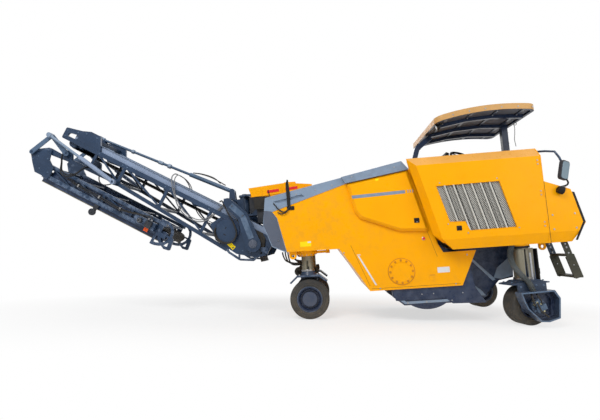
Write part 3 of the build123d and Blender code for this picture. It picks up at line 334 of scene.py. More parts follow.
def linear(c):
    """Linear share of one display value from 0 to 255."""
    return c / 255 / 12.92 if c <= 10 else ((c / 255 + 0.055) / 1.055) ** 2.4


def rgb(r, g, b):
    return linear(r), linear(g), linear(b), 1.0


DUST = rgb(150, 136, 112)


def finish(name, colour, rough=0.4, metal=0.0, vary=0.1, dust=0.0, bump=0.15, grain=180.0, coat=0.0,
           chips=0.0, chip_colour=(90, 88, 86), dust_top=1.1, shine=0.22):
    """Paint, rubber or metal with cloudy colour, dust that thickens downwards, grain and edge chips."""
    mat, shader, bsdf = new_material(name)
    cloud, patch = shader.noise(2.3, 6.0), shader.noise(9.0, 8.0, 0.7)
    colour = rgb(*colour)[:3]
    dark = tuple(c * (1 - 2 * vary) for c in colour) + (1.0,)
    light = tuple(min(1.0, c * (1 + vary)) for c in colour) + (1.0,)
    tone = shader.blended(shader.mapped(cloud, 0.3, 0.7, 0.0, 1.0), dark, light)
    if dust:
        split = shader.add("SeparateXYZ", {0: shader.place()})
        height = shader.mapped(split.outputs["Z"], 0.05, dust_top, dust, dust * 0.12)
        tone = shader.blended(shader.product(height, shader.mapped(patch, 0.35, 0.7, 0.25, 1.6)), tone, DUST)
    if chips:
        edge = shader.add("NewGeometry", {}).outputs["Pointiness"]
        edge = shader.mapped(edge, 0.52, 0.60, 0.0, chips)
        amount = shader.product(edge, shader.mapped(patch, 0.45, 0.6, 0.0, 1.0))
        tone = shader.blended(amount, tone, rgb(*chip_colour))
    roughness = shader.mapped(patch, 0.3, 0.7, max(0.02, rough - 0.08), min(1.0, rough + 0.12))
    shader.feed(bsdf, {"Base Color": tone, "Roughness": roughness, "Metallic": metal,
                       "Specular IOR Level": shine, "Coat Weight": coat, "Coat Roughness": 0.12})
    if bump:
        shader.feed(bsdf, {"Normal": shader.bump(shader.noise(grain, 3.0), bump, MM)})
    return mat


AMBER = finish("amber_paint", (246, 168, 1), rough=0.30, vary=0.02, dust=0.03, bump=0.04, coat=0.06,
               chips=0.10, shine=0.08)
SLATE = finish("slate_paint", (126, 144, 166), rough=0.36, vary=0.05, dust=0.06, bump=0.06, coat=0.1,
               chips=0.3)
DARK_BLUE = finish("dark_blue_paint", (38, 58, 84), rough=0.32, vary=0.12, dust=0.10, bump=0.08, coat=0.12,
                   chips=0.6, chip_colour=(120, 136, 160))
MID_BLUE = finish("mid_blue_paint", (76, 98, 124), rough=0.34, dust=0.06, bump=0.06, coat=0.15,
                  chips=0.4, chip_colour=(130, 146, 168))
# pale blue paint of the fold barrels, also the painted highlight on the boom's upper side band
PALE_BLUE = finish("pale_blue_paint_and_lit_band", (134, 150, 176), rough=0.30, dust=0.04, bump=0.06, coat=0.2, chips=0.3)
DEEP_BLUE = finish("deep_blue_paint", (30, 46, 74), rough=0.30, vary=0.12, dust=0.08, bump=0.08, coat=0.15,
                   chips=0.5, chip_colour=(92, 108, 136))
CHARCOAL = finish("charcoal_paint", (44, 48, 56), rough=0.45, dust=0.16, bump=0.1, chips=0.4)
BLACK = finish("black_plastic", (18, 19, 22), rough=0.5, dust=0.06, bump=0.25, grain=420.0)
HOSE = finish("hose_rubber", (26, 28, 32), rough=0.5, dust=0.14, bump=0.3, grain=520.0, dust_top=2.6)
BELT = finish("belt_rubber", (26, 28, 31), rough=0.7, vary=0.15, dust=0.16, bump=0.6, grain=120.0,
              dust_top=3.4)
TYRE = finish("tyre_rubber", (52, 53, 54), rough=0.7, vary=0.14, dust=0.2, bump=0.5, grain=150.0,
              dust_top=0.7)
KHAKI = finish("khaki_rubber", (62, 64, 56), rough=0.75, vary=0.12, dust=0.25, bump=0.6, grain=140.0)
TAN = finish("tan_paint", (198, 154, 96), rough=0.42, vary=0.05, bump=0.12, coat=0.05)
STEEL = finish("bare_steel", (150, 150, 150), rough=0.36, metal=0.9, vary=0.12, dust=0.2, bump=0.2)
WORN = finish("worn_steel", (128, 122, 116), rough=0.5, metal=0.75, vary=0.2, dust=0.5, bump=0.5, grain=70.0)
ZINC = finish("zinc_steel", (164, 166, 170), rough=0.34, metal=0.85, vary=0.06, dust=0.1, bump=0.05)
COLUMN = finish("column_steel", (128, 124, 108), rough=0.42, metal=0.35, vary=0.12, dust=0.25, bump=0.15)
BRASS = finish("brass_fittings", (196, 190, 150), rough=0.3, metal=0.7, dust=0.1, bump=0.1)
DUCT = finish("duct_rubber", (100, 106, 108), rough=0.35, vary=0.15, dust=0.1, bump=0.2, grain=260.0)
GREY_PANEL = finish("grey_panel", (92, 100, 114), rough=0.55, vary=0.12, bump=0.3, grain=60.0)
ORANGE = finish("orange_reflector", (255, 96, 16), rough=0.2, vary=0.02, bump=0.3, grain=260.0, coat=0.3)
RED = finish("red_reflector", (220, 30, 40), rough=0.2, vary=0.02, bump=0.3, grain=260.0, coat=0.3)
# dark slate of the bracket pins, also the painted shade on the nose trim's front part
SLATE_DARK = finish("dark_slate_paint_and_trim_shade", (84, 92, 108), rough=0.4, vary=0.06, dust=0.12, bump=0.06, coat=0.1)
LABEL_YELLOW = finish("label_yellow", (244, 214, 10), rough=0.35, vary=0.02, bump=0.0)
LABEL_WHITE = finish("label_white", (214, 216, 218), rough=0.35, vary=0.02, bump=0.0)
GLASS = finish("mirror_glass", (128, 148, 160), rough=0.16, metal=0.3, vary=0.04, bump=0.0)
ENGINE = finish("engine_castings", (84, 86, 88), rough=0.6, metal=0.3, vary=0.15, dust=0.3, bump=0.4)


def mesh_panel():
    """Woven wire louvre: a fine lattice in the bump and colour."""
    mat, shader, bsdf = new_material("louvre_mesh")
    waves = []
    for turn in (0.7, -0.7):
        turned = shader.add("Mapping", {"Vector": shader.place(), "Rotation": (0, turn, 0)})
        wave = shader.add("TexWave", {"Vector": turned.outputs["Vector"], "Scale": 15.0}, bands_direction="X")
        waves.append(wave.outputs["Fac"])
    weave = shader.product(*waves)
    tone = shader.blended(shader.mapped(weave, 0.1, 0.7, 0.0, 1.0), rgb(100, 99, 94), rgb(206, 204, 196))
    shader.feed(bsdf, {"Base Color": tone, "Normal": shader.bump(weave, 0.6, 3 * MM), "Roughness": 0.6,
                       "Metallic": 0.2})
    return mat


LOUVRE = mesh_panel()
# painted highlight: pale steel colour for the light on the louvre's slats
SLAT_HIGHLIGHT = finish("pale_slat_highlight", (188, 186, 178), rough=0.4, metal=0.2, vary=0.06, dust=0.1)
HUB_BLUE = finish("hub_blue_paint", (62, 74, 96), rough=0.4, vary=0.08, dust=0.1)
# painted shade: darker amber for the shade round raised covers and their bolts
SHADE_AMBER = finish("amber_rim_shade", (208, 134, 14), rough=0.4, vary=0.08, dust=0.2)
# painted highlight: pale olive for the light along the outer skirt's lower edge
OLIVE_HIGHLIGHT = finish("olive_edge_highlight", (112, 107, 88), rough=0.7, vary=0.12, dust=0.2)
# painted reflection: paler amber that stands in for the sky's reflection on upward faces, with a little dust
SKY_LIT_AMBER = finish("amber_sky_reflection_paint", (232, 168, 78), rough=0.3, vary=0.05, dust=0.2)
HOSE_PALE = finish("pale_hose", (112, 116, 122), rough=0.5, dust=0.3, bump=0.2, dust_top=3.0)
LAMP_GLASS = finish("lamp_lens", (214, 220, 222), rough=0.08, metal=0.6, vary=0.02, bump=0.6)
SEAT_COVER = finish("seat_cover", (40, 40, 44), rough=0.78, dust=0.15, bump=0.4, grain=380.0, dust_top=3.0)

# ------------------------------------------------------------------ finish of the carried-over CAD nodes
CAD_FINISH = {name: paint for paint, names in (
    (AMBER, "hull housing transfer_hood"),
    (SLATE, "nose_trim fold_rams"),
    (PALE_BLUE, "fold_barrels"),
    (MID_BLUE, "fold_rockers fold_links luff_barrel luff_ram"),
    (DARK_BLUE, "ladder primary_conveyor slew_console slew_bracket boom_main boom_outer"),
    (DEEP_BLUE, "roof_frame drum_box edge_plates"),
    (BLACK, "console seat mirrors"),
    (BELT, "primary_belt main_belt outer_belt"),
    (ENGINE, "engine"), (TAN, "roof"), (WORN, "drum")) for name in names.split()}
for side_name, _ in SIDES:
    CAD_FINISH.update({f"service_door_{side_name}": AMBER, f"side_door_{side_name}": AMBER,
                       f"louvre_{side_name}": LOUVRE})
    for end in ("front", "rear"):
        leg_name = f"{end}_{side_name}"
        CAD_FINISH.update({f"{leg_name}_leg": DARK_BLUE, f"{leg_name}_tyre": TYRE,
                           f"{leg_name}_rim": DEEP_BLUE})
SOFT_EDGED = {"primary_belt", "main_belt", "outer_belt", "drum"}
for name, node in frame["nodes"].items():
    node.data.materials.clear()
    node.data.materials.append(CAD_FINISH[name])
    weld = node.modifiers.new("weld", "WELD")
    weld.merge_threshold = 0.00002
    if name not in SOFT_EDGED:
        add_bevel(node, 0.005)


def repaint(name, material, at, wanted):
    """Give another paint to the faces of a CAD node whose centre passes a test in a drawing frame."""
    node = frame["nodes"][name]
    node.data.materials.append(material)
    slot_index = len(node.data.materials) - 1
    back = at.inverted()
    turn = back.to_3x3()
    for face in node.data.polygons:
        if wanted(back @ face.center, (turn @ face.normal).normalized()):
            face.material_index = slot_index


# painted highlight: the upper band of the side frames gets pale blue to stand for the lit face of the dark
# blue frame
repaint("boom_main", PALE_BLUE, BOOM, lambda p, n: 164 < p.z < 346 and 455 < abs(p.y) < 472 and p.x < 3900)
repaint("boom_outer", DEEP_BLUE, BOOM, lambda p, n: -726 < p.z < -544 and 455 < abs(p.y) < 477)
repaint("roof", DEEP_BLUE, BODY,
        lambda p, n: n.z < -0.3 or p.y * n.y < -500 or n.x * (p.x - ROOF_MIDDLE) < -300)
for side_name, _ in SIDES:
    # painted reflection: the side doors' high upward faces get the paler amber of the sky's reflection
    repaint(f"side_door_{side_name}", SKY_LIT_AMBER, BODY, lambda p, n: n.z > 0.25 and p.z > 2200)
    for end in ("front", "rear"):
        repaint(f"{end}_{side_name}_leg", COLUMN, BODY, lambda p, n: p.z > 745 and abs(n.z) < 0.2)
repaint("ladder", KHAKI, BODY, lambda p, n: p.z < 850)


# ------------------------------------------------------------------ conveyor
# conveyor frame: the side frames' outer face, the belts' outer runs and the cleats' distance
FRAME_Y, MAIN_BELT_TOP, OUTER_BELT_UNDER, CLEAT_PITCH = 530, 260, -692, 260


def build_conveyor():
    bolts = pair("boom_bolts", MID_BLUE, "boom_inner")
    bolts.studs(FRAME_Y, [(u, 205) for u in (900, 1000, 1800, 1900, 2700, 2800, 3300)])
    bolts.studs(518, ((120, -190), (-10, -160), (300, -220)))
    bolts.studs(FRAME_Y - 8, ((3480, 440), (3700, 430), (3860, 380), (4060, 330), (4060, 220)), 10)
    bolts.ring((3840, 592, -60), 32, 6, 5)
    # painted shade: flat black plates stand in for the dark inside two slots in the disc plate
    slots = pair("disc_slots", BLACK, "boom_inner")
    y = FRAME_Y + 12
    slots.plate([(566, 12), (582, 18), (576, 56), (560, 50)], y, y + 1.5)
    slots.plate([(510, -90), (560, -86), (556, -70), (508, -74)], y, y + 1.5)
    plate_rim = pair("disc_rims", DEEP_BLUE, "boom_inner", bevel=0.002)
    plate_rim.lathe([(-8, 215), (-8, 223), (18, 223), (18, 209), (12, 209), (12, 215)], (530, FRAME_Y, 0),
                    steps=64)

    outer = pair("outer_boom_bolts", MID_BLUE, "boom_outer")
    outer.studs(525, [(u, -600) for u in range(1860, 4040, 240)], 8)
    outer.studs(565, ((4000, -520), (4180, -520), (4300, -330), (4380, -420), (4120, -300)), 10)

    belt_cleats("main_belt_cleats", "boom_inner", 180, 3700, 1)
    belt_cleats("outer_belt_cleats", "boom_outer", 1620, 3960, -1)

    skirt = pair("boom_skirt_lips", SLATE, "boom_inner", bevel=0.003)
    skirt.box(480, 3880, 456, 500, 345, 352)

    marks = pair("orange_reflectors", ORANGE, "boom_outer", bevel=0.003)
    marks.box(1820, 1905, 526, 534, -668, -585)
    plate = pair("boom_labels", LABEL_YELLOW, "boom_inner", bevel=0.001)
    plate.plate([(425, -215), (375, -152), (262, -184), (284, -255)], 518, 520)

    roller = pair("guide_rollers", CHARCOAL, "boom_outer", bevel=0.002)
    roller.plate([(2850, -640), (2950, -640), (2930, -790), (2870, -790)], 505, 517)
    roller.lathe([(0, 12), (0, 52), (8, 62), (52, 62), (60, 52), (60, 12)], (2900, 520, -790))
    roller.disc((2900, 500, -790), 14, 90)

    motor = Piece("belt_motor_valves", CHARCOAL, "boom_outer", bevel=0.004)
    motor.box(1760, 1880, 622, 668, -580, -470)
    motor.dome([(0, 46), (60, 46), (72, 34)], (1990, 620, -520))
    for u in (1790, 1850):
        motor.disc((u, 645, -470), 15, 34, UP)
    fittings = Piece("motor_fittings", ZINC, "boom_outer")
    for u in (1790, 1850):
        fittings.dome([(0, 13), (30, 13)], (u, 645, -440), UP, 6)
    fittings.ring((1990, 692, -520), 30, 6, 5)

    hoses = Piece("outer_boom_hoses", HOSE, "boom_outer")
    hoses.tube([(1790, 645, -415), (1830, 640, -380), (2100, 590, -440), (2450, 560, -500), (2900, 552, -478),
                (3350, 556, -470), (3560, 560, -440)], 11)
    hoses.tube([(1850, 645, -415), (1900, 650, -395), (2150, 610, -465), (2480, 575, -525), (2920, 562, -505),
                (3360, 566, -495), (3600, 562, -460)], 11)
    loops = Piece("fold_hose_loops", HOSE, "boom_inner")
    for side, lift in ((1, 0), (1, 34), (-1, 0)):
        y = side * (640 + lift * 0.4)
        loops.tube([(3330, side * 535, -80), (3370, y, -150), (3460, y, -300 - lift), (3600, y, -390 - lift),
                    (3720, y, -360 - lift), (3790, y, -240), (3840, y, -140), (3900, side * 560, -90)], 12)
    clips = Piece("hose_clips", STEEL, "boom_outer", bevel=0.002)
    for u, w in ((2450, -512), (2900, -492), (3350, -482)):
        clips.box(u - 14, u + 14, 524, 580, w - 28, w + 28)

    tail = pair("tail_hoses", HOSE, "boom_inner")
    for k in (0, 1):
        y, grow = 566 + 27 * k, 12 * k
        tail.tube([(900, 460, 400), (860, 520, 430), (800 - grow, y, 400), (650 - grow, y, 285),
                   (480 - grow, y, 170), (350 - grow, y, 30), (350 - grow, y, -110 - grow),
                   (460, y, -200 - grow), (600 + grow, y, -196 - grow), (700 + grow, y, -110),
                   (730, 545, -40)], 12)

    guard = pair("tail_guards", DARK_BLUE, "boom_inner", bevel=0.004)
    y = 500
    path = [(410, y, -270), (333, y, -325), (93, y, -350), (-130, y, -250), (-150, y, -180)]
    for a, b in zip(path, path[1:]):
        guard.bar(a, b, 60, 34)
    guard.bar((150, y, -270), (110, y, -345), 60, 26)

    flap = Piece("scraper_flap", BELT, "boom_inner")
    path = [(10, 20), (-79, -10), (-160, -80), (-225, -170), (-270, -210)]
    flap.band(path, moved(path, 22, -20), -385, 385)

    hopper = pair("hopper_walls", BELT, "boom_inner", smooth=60)
    wall = [(470, 250), (330, 300), (180, 250), (-60, 245), (-150, 180), (-200, 60), (-200, -100), (-70, 30),
            (60, 110), (330, 170)]
    sheet = [(-150, 180), (-200, 60), (-200, -100)]
    hopper.plate(wall, 531, 540)
    hopper.twins = False
    hopper.band(sheet, moved(sheet, 10, 0), -540, 540)
    clamp = pair("hopper_clamps", DARK_BLUE, "boom_inner", bevel=0.003)
    y = 540
    clamp.plate([(330, 250), (180, 180), (40, 130), (10, 170), (60, 230), (200, 300), (330, 330)], y, y + 6)
    clamp.plate([(-180, -60), (-296, -50), (-300, 20), (-240, 60), (-130, 0)], y, y + 6)
    clamp.studs(y + 6, ((280, 270), (140, 210), (-240, 0)), 8)

    face = pair("bracket_faces", MID_BLUE, "slew_bracket", bevel=0.002)
    pin = pair("bracket_pins", SLATE_DARK, "slew_bracket", bevel=0.002)
    y = 604
    face.plate([(978, 1400), (1108, 1803), (1012, 1831), (882, 1428)], y, y + 4)
    face.plate([(1096, 1782), (1300, 1992), (1230, 2064), (1024, 1852)], y, y + 7)
    pin.dome([(0, 74), (6, 74), (9, 68)], (910, y, 1317), steps=40)
    pin.ring((910, y + 9, 1317), 52, 6, 8)
    pin.studs(y + 7, ((1062, 1824), (1240, 2010)), 12)

    hoop = pair("hoop_guards", DARK_BLUE, "boom_outer", bevel=0.006)
    arc = [(1650, -330), (1560, -322), (1480, -345), (1412, -400), (1372, -480), (1362, -570), (1388, -660),
           (1440, -735), (1520, -790), (1600, -815), (1660, -822)]
    core = [(1650, -385), (1565, -376), (1500, -394), (1452, -435), (1424, -495), (1417, -565), (1435, -635),
            (1475, -692), (1535, -734), (1605, -758), (1660, -765)]
    hoop.band(arc, core, 486, 516)
    hoop.plate([(1640, -325), (1690, -325), (1700, -822), (1650, -822)], 486, 516)
    infill = pair("outer_side_sheets", DEEP_BLUE, "boom_outer")
    infill.box(2300, 3960, 466, 470, -600, -420)
    infill.box(1700, 2230, 466, 470, -600, -440)
    # painted highlight: a thin pale strip along the bottom of the dark skirt
    edge = pair("outer_lower_edges", OLIVE_HIGHLIGHT, "boom_outer")
    edge.box(1500, 4080, 455, 480, -726, -712)

    stay = Piece("luff_stay_details", SLATE, "luff_ram", bevel=0.003)
    along = (MAST_TIP - MAST).normalized()
    for share, r, length in ((0.46, 44, 60), (0.52, 36, 90), (0.74, 40, 46), (0.97, 42, 40)):
        stay.lathe([(0, 25), (0, r), (length, r), (length, 25)], MAST.lerp(MAST_TIP, share), along, 20)

    hanging = Piece("luff_hoses", HOSE, "luff_barrel")
    top = (Vector(UP) - along * along.z).normalized()
    for start, side, sag in ((0.06, 62, 0), (0.10, -62, 1)):
        knots = ((start, 60, 0.3), (0.16, 96 + 14 * sag, 0.3), (0.24, 86 + 10 * sag, 0.2), (0.30, 52, 0.0))
        hanging.tube([MAST.lerp(MAST_TIP, share) + top * lift + Vector((0, side * out, 0))
                      for share, lift, out in knots], 10)

    droop = pair("pale_hoses", HOSE_PALE, "boom_inner")
    y = 548
    droop.tube([(1990, 60, 500), (1952, 300, 480), (1880, 500, 390), (1741, y, 216), (1524, y, 1),
                (1310, y, -93), (1086, y, -92), (948, y, -5), (880, 530, 120), (830, 500, 260),
                (790, 480, 400)], 11)
    droop.tube([(1960, 60, 500), (1900, 300, 470), (1820, 490, 380), (1690, y, 190), (1480, y, 10),
                (1290, y, -60), (1100, y, -60), (980, y, 10), (900, 530, 130), (850, 500, 270),
                (810, 480, 400)], 9)


def belt_cleats(name, body, u0, u1, up):
    """Chevron ribs on a belt's outer run."""
    piece = pair(name, BELT, body)
    w = MAIN_BELT_TOP if up > 0 else OUTER_BELT_UNDER
    for u in range(u0, u1, CLEAT_PITCH):
        piece.slab([(u, 20, w), (u + 26, 20, w), (u + 146, 350, w), (u + 120, 350, w)], (0, 0, 18 * up))


# ------------------------------------------------------------------ nose and hull
# y of the outer faces that the details sit on, in the body frame
HOOD_Y, HULL_Y, NOSE_Y, SERVICE_DOOR_Y, SIDE_DOOR_Y = 330, 950, 958, 1030, 1250


def build_nose():
    bolts = pair("nose_bolts", ZINC)
    bolts.studs(NOSE_Y, ((72, 2080), (-250, 2132), (-530, 2186), (500, 1700), (420, 1330)))
    bolts.studs(SERVICE_DOOR_Y, ((-860, 2290), (-1560, 2392)))
    bolts.ring((-23, 660, 1070), 136, 10, axis=DOWN)

    post = pair("nose_posts", BLACK, bevel=0.003)
    post.plate([(180, 1900), (232, 1880), (238, 2270), (212, 2340), (190, 2330), (176, 2100)], 960, 976)
    post.box(120, 240, 950, 962, 1826, 1890)
    cable = pair("nose_cables", HOSE)
    y = 966
    cable.tube([(190, y, 1890), (230, y + 8, 1830), (300, y + 6, 1800), (380, y + 4, 1850), (440, y, 1930),
                (500, 900, 2010), (560, 700, 2060), (640, 420, 2070)], 10)
    cable.tube([(200, y, 1880), (250, y + 10, 1800), (330, y + 6, 1770), (400, y + 4, 1800)], 9)
    cable.tube([(620, 330, 2280), (600, 380, 2200), (560, 600, 2100), (540, 700, 2060)], 9)

    apron = pair("hood_aprons", BELT)
    # painted shade: a thin darker slate plate laid over the front part of the slate trim
    shade = pair("nose_front_plates", SLATE_DARK, bevel=0.001)
    apron.plate([(500, 2166), (900, 2176), (884, 1945), (700, 1942), (520, 1960)], 318, 328)
    shade.plate([(300, 1145), (424, 1712), (499, 1822), (560, 1838), (628, 1846), (652, 1612), (522, 1250)],
                NOSE_Y, NOSE_Y + 2)
    gear = Piece("hood_gear", CHARCOAL, bevel=0.004)
    for x, w, h in ((560, 90, 60), (700, 70, 90), (820, 60, 50)):
        gear.box(x, x + w, -300, 300, 2150 - h, 2150)
    gear.box(880, 1010, -130, 130, 1900, 2210)
    gear.slab([(560, -270, 1700), (850, -270, 1700), (856, -270, 1950), (560, -270, 1950)], (0, 540, 0))

    red = pair("red_reflectors", RED, bevel=0.002)
    y = HOOD_Y
    for x0, x1, z in ((80, 300, 2292), (420, 640, 2268)):
        red.plate([(x0, z - 30), (x1, z - 44), (x1, z + 6), (x0, z + 20)], y, y + 5)
    ribs = pair("hood_ribs", AMBER, bevel=0.003)
    ribs.plate([(-150, 2215), (940, 2168), (944, 2190), (-150, 2240)], y, y + 10)
    for x in (-60, 360, 720):
        ribs.plate([(x, 2170), (x + 26, 2170), (x + 26, 2330), (x, 2330)], y, y + 8)
    ribs.twins = False
    ribs.box(-120, 60, -260, -60, 2362, 2392)
    ribs.box(120, 330, 70, 250, 2372, 2410)

    label = pair("nose_labels", LABEL_YELLOW, bevel=0.001)
    white = pair("nose_label_blanks", LABEL_WHITE, bevel=0.001)
    y = HULL_Y
    label.box(-118, 64, y, y + 1.2, 1206, 1290)
    white.box(-116, -62, y + 1.2, y + 2, 1262, 1288)
    white.box(-2305, -2113, y, y + 1.2, 640, 728)

    lugs = pair("collar_lugs", AMBER, bevel=0.004)
    y = 660
    for x, reach in ((220, 1), (-380, -1)):
        root = -23 + reach * 120
        lugs.slab([(root, y - 46, 1082), (x, y - 30, 1082), (x + reach * 26, y, 1082), (x, y + 30, 1082),
                   (root, y + 46, 1082)], (0, 0, 34))
        lugs.disc((x, y, 1074), 34, 50, UP)

    hose = pair("front_leg_hoses", HOSE)
    for k in (0, 1, 2):
        y, drop = 790 - 46 * k, 16 * k
        hose.tube([(380 - 40 * k, y, 1140), (372 - 40 * k, y, 1080 - drop),
                   (330 - 30 * k, y - 30, 990 - drop), (220, y - 70, 945 - drop), (120, y - 110, 938 - drop),
                   (40, 520, 950 - drop), (-30, 505, 985)], 12)


def build_hull_details():
    strip = pair("hull_strips", LABEL_WHITE, bevel=0.001)
    cover = pair("hull_covers", AMBER, bevel=0.003)
    bolts = pair("hull_bolts", ZINC)
    seam = pair("hull_seams", BLACK)
    # painted shade: a darker amber ring round the cover's rim, darker bolts on it and a dark strip at the
    # small cover's top edge
    shade = pair("cover_edges", SHADE_AMBER)
    button = pair("stop_buttons", RED)
    collar = pair("button_collars", ZINC)
    y = HULL_Y
    strip.plate([(-858, 992), (-886, 992), (-1134, 508), (-1106, 508)], y, y + 4)
    strip.box(-905, -850, y, y + 4, 1002, 1018)
    cover.dome([(0, 205), (12, 205), (15, 198), (15, 150), (10, 146)], (-1541, y, 699), steps=64)
    shade.lathe([(0, 204), (9, 204), (9, 214), (0, 218)], (-1541, y, 699), steps=64)
    shade.ring((-1541, y + 14, 699), 180, 12, 13)
    shade.box(-2064, -1985, y, y + 6, 606, 616)
    bolts.studs(y, ((-640, 1060), (-1180, 450), (-2380, 450), (-2600, 900)), 8)
    for a, b in (((-760, 1180), (-1020, 500)), ((-2010, 1310), (-2130, 900)), ((-1045, 452), (-2460, 452))):
        a, b = Vector(a), Vector(b)
        half = (b - a).orthogonal().normalized() * 2
        seam.plate([a - half, b - half, b + half, a + half], y, y + 0.8)
    button.lathe([(10, CORE), (10, 17), (16, 20), (22, 16), (24, CORE)], (-1939, y, 1203), steps=20)
    collar.dome([(0, 27), (8, 27), (11, 22)], (-1939, y, 1203), steps=24)
    cover.box(-2060, -1975, y, y + 5, 520, 610)


def build_belly():
    """Deep panels and pan between the drum's hood and the rear legs."""
    pan = [(-3400, 470), (-3163, 430), (-2940, 200)]
    belly = pair("belly_panels", DEEP_BLUE, bevel=0.003)
    belly.plate([(-2560, 1000), (-3440, 1000), *pan, (-2680, 200), (-2662, 290), (-2578, 480)], 640, 655)
    belly.twins = False
    belly.band(pan, moved(pan, 8, 16), -655, 655)
    # painted highlight: the gussets get lighter slate than the deep blue panels for the light that their
    # facets catch
    gusset = pair("belly_gussets", SLATE, bevel=0.003)
    y = 655
    gusset.plate([(-3150, 640), (-3390, 820), (-3400, 500), (-3200, 450), (-3080, 480)], y, y + 8)
    gusset.plate([(-2610, 930), (-2660, 930), (-3110, 450), (-3060, 430)], y, y + 14)
    gusset.plate([(-2700, 420), (-2850, 300), (-2930, 200), (-2690, 206)], y, y + 8)


# ------------------------------------------------------------------ housing, doors and canopy
def latch(name, body, at, corner, inner, y):
    """Sunk handle plate with its finger pull, each given by x0, x1, z0, z1."""
    piece = Piece(name, BLACK, body, at, bevel=0.004)
    for (x0, x1, z0, z1), low, high in ((corner, 0, 7), (inner, 7, 15)):
        piece.box(x0, x1, y + low, y + high, z0, z1)


def build_service_doors():
    y = SERVICE_DOOR_Y
    for name, side in SIDES:
        body, at = f"service_door_{name}", sided(side)
        stripe = Piece(f"door_stripe_{name}", SLATE, body, at, bevel=0.001)
        stripe.plate([(-842, 1928), (-1700, 1952), (-1700, 2004), (-836, 1980)], y, y + 1.5)
        for x in (-1730, -1768, -1806):
            stripe.plate([(x, 1958), (x - 14, 1958), (x - 30, 1982), (x - 14, 2006), (x, 2006),
                          (x - 16, 1982)], y, y + 1.5)
        latch(f"door_latch_{name}", body, at, (-1884, -1800, 1462, 1540), (-1868, -1816, 1490, 1514), y)
        Piece(f"door_lock_{name}", ZINC, body, at).disc((-1842, y + 7, 1476), 8, 5, steps=16)
        chip = Piece(f"door_chip_{name}", LABEL_YELLOW, body, at)
        chip.plate([(-1240, 2190), (-1292, 2196), (-1292, 2232), (-1240, 2226)], y, y + 1.2)


SLAT_TOP, SLAT_LEAN = 2002, 0.262         # upper end of the louvre's slats, and their run back per drop


def build_side_doors():
    y = SIDE_DOOR_Y
    loop = closed([(-2146, 2000), (-3110, 2008), (-3297, 1285), (-2595, 1278), (-2535, 1425), (-2303, 1431)])
    for name, side in SIDES:
        body, at = f"side_door_{name}", sided(side)
        latch(f"side_latch_{name}", body, at, (-2472, -2392, 1286, 1360), (-2456, -2410, 1312, 1336), y)
        hinge = Piece(f"side_hinges_{name}", AMBER, body, at, bevel=0.002)
        bolts = Piece(f"side_bolts_{name}", ZINC, body, at)
        for z in (2200, 1720, 1240):
            hinge.dome([(0, 12), (110, 12)], (-3760, y, z), UP, 16)
            hinge.box(-3742, -3700, y, y + 4, z + 20, z + 90)
            bolts.studs(y + 4, ((-3712, z + 25), (-3712, z + 85)), 7)
        bolts.studs(y, ((-2200, 2046), (-3080, 2054), (-3330, 1268), (-2560, 1240), (-2270, 1398)), 7)
        # painted highlight and shade: a pale strip for the lit slat and a black strip beside it for the shade
        # in the gap
        pale = Piece(f"louvre_slat_highlights_{name}", SLAT_HIGHLIGHT, body, at, bevel=0.001)
        dark = Piece(f"louvre_slat_gap_shade_{name}", BLACK, body, at)
        for k in range(1, 7):
            x, low = -2146 - 138 * k, 1434 if k == 1 else 1282
            lean = SLAT_LEAN * (SLAT_TOP - low)
            for slat, width, thick in ((pale, 26, 3), (dark, -13, 2)):
                slat.plate([(x, SLAT_TOP), (x + width, SLAT_TOP), (x + width - lean, low), (x - lean, low)],
                           y, y + thick)
        rim = Piece(f"louvre_rim_{name}", AMBER, body, at, bevel=0.002)
        rim.band(loop, scaled(loop, 1.030, centre=(-2700, 1680)), y, y + 3.5)


def build_rear_cap():
    dark = pair("rear_edge_strips", BLACK, bevel=0.003)
    bolts = pair("rear_cap_bolts", ZINC)
    steel = pair("rear_cap_seams", BLACK)
    y = 1246
    dark.plate([(-4206, 1750), (-4316, 1290), (-4168, 1016), (-4136, 1022), (-4278, 1290), (-4170, 1760)],
               y, y + 7)
    bolts.studs(SIDE_DOOR_Y, ((-3843, 1421), (-4172, 1424), (-4174, 1204), (-3843, 1204)))
    steel.box(-3778, -3772, SIDE_DOOR_Y, SIDE_DOOR_Y + 1, 1000, 1950)

    lamp = pair("work_lamps", BLACK, bevel=0.004)
    glass = pair("lamp_lenses", LAMP_GLASS)
    bracket = pair("lamp_brackets", ZINC, bevel=0.002)
    y = 1298
    at, aim = (-3940, y, 1806), (-0.9, 0, -0.35)
    lamp.dome([(0, 50), (36, 60), (84, 60), (90, 54)], at, aim, 28)
    glass.lathe([(90, CORE), (90, 50), (92, 46), (94, CORE)], at, aim, 28)
    bracket.bar((-3970, 1248, 1796), (-3970, 1300, 1796), 60, 8)
    bracket.bar((-3990, y, 1842), (-4070, 1270, 1832), 40, 6)


def roof_low(x):
    """Height of the canopy's lower edge."""
    share = (x - ROOF_MIDDLE) / ROOF_HALF
    return 3205 - 37.5 * share - 82.5 * share * share


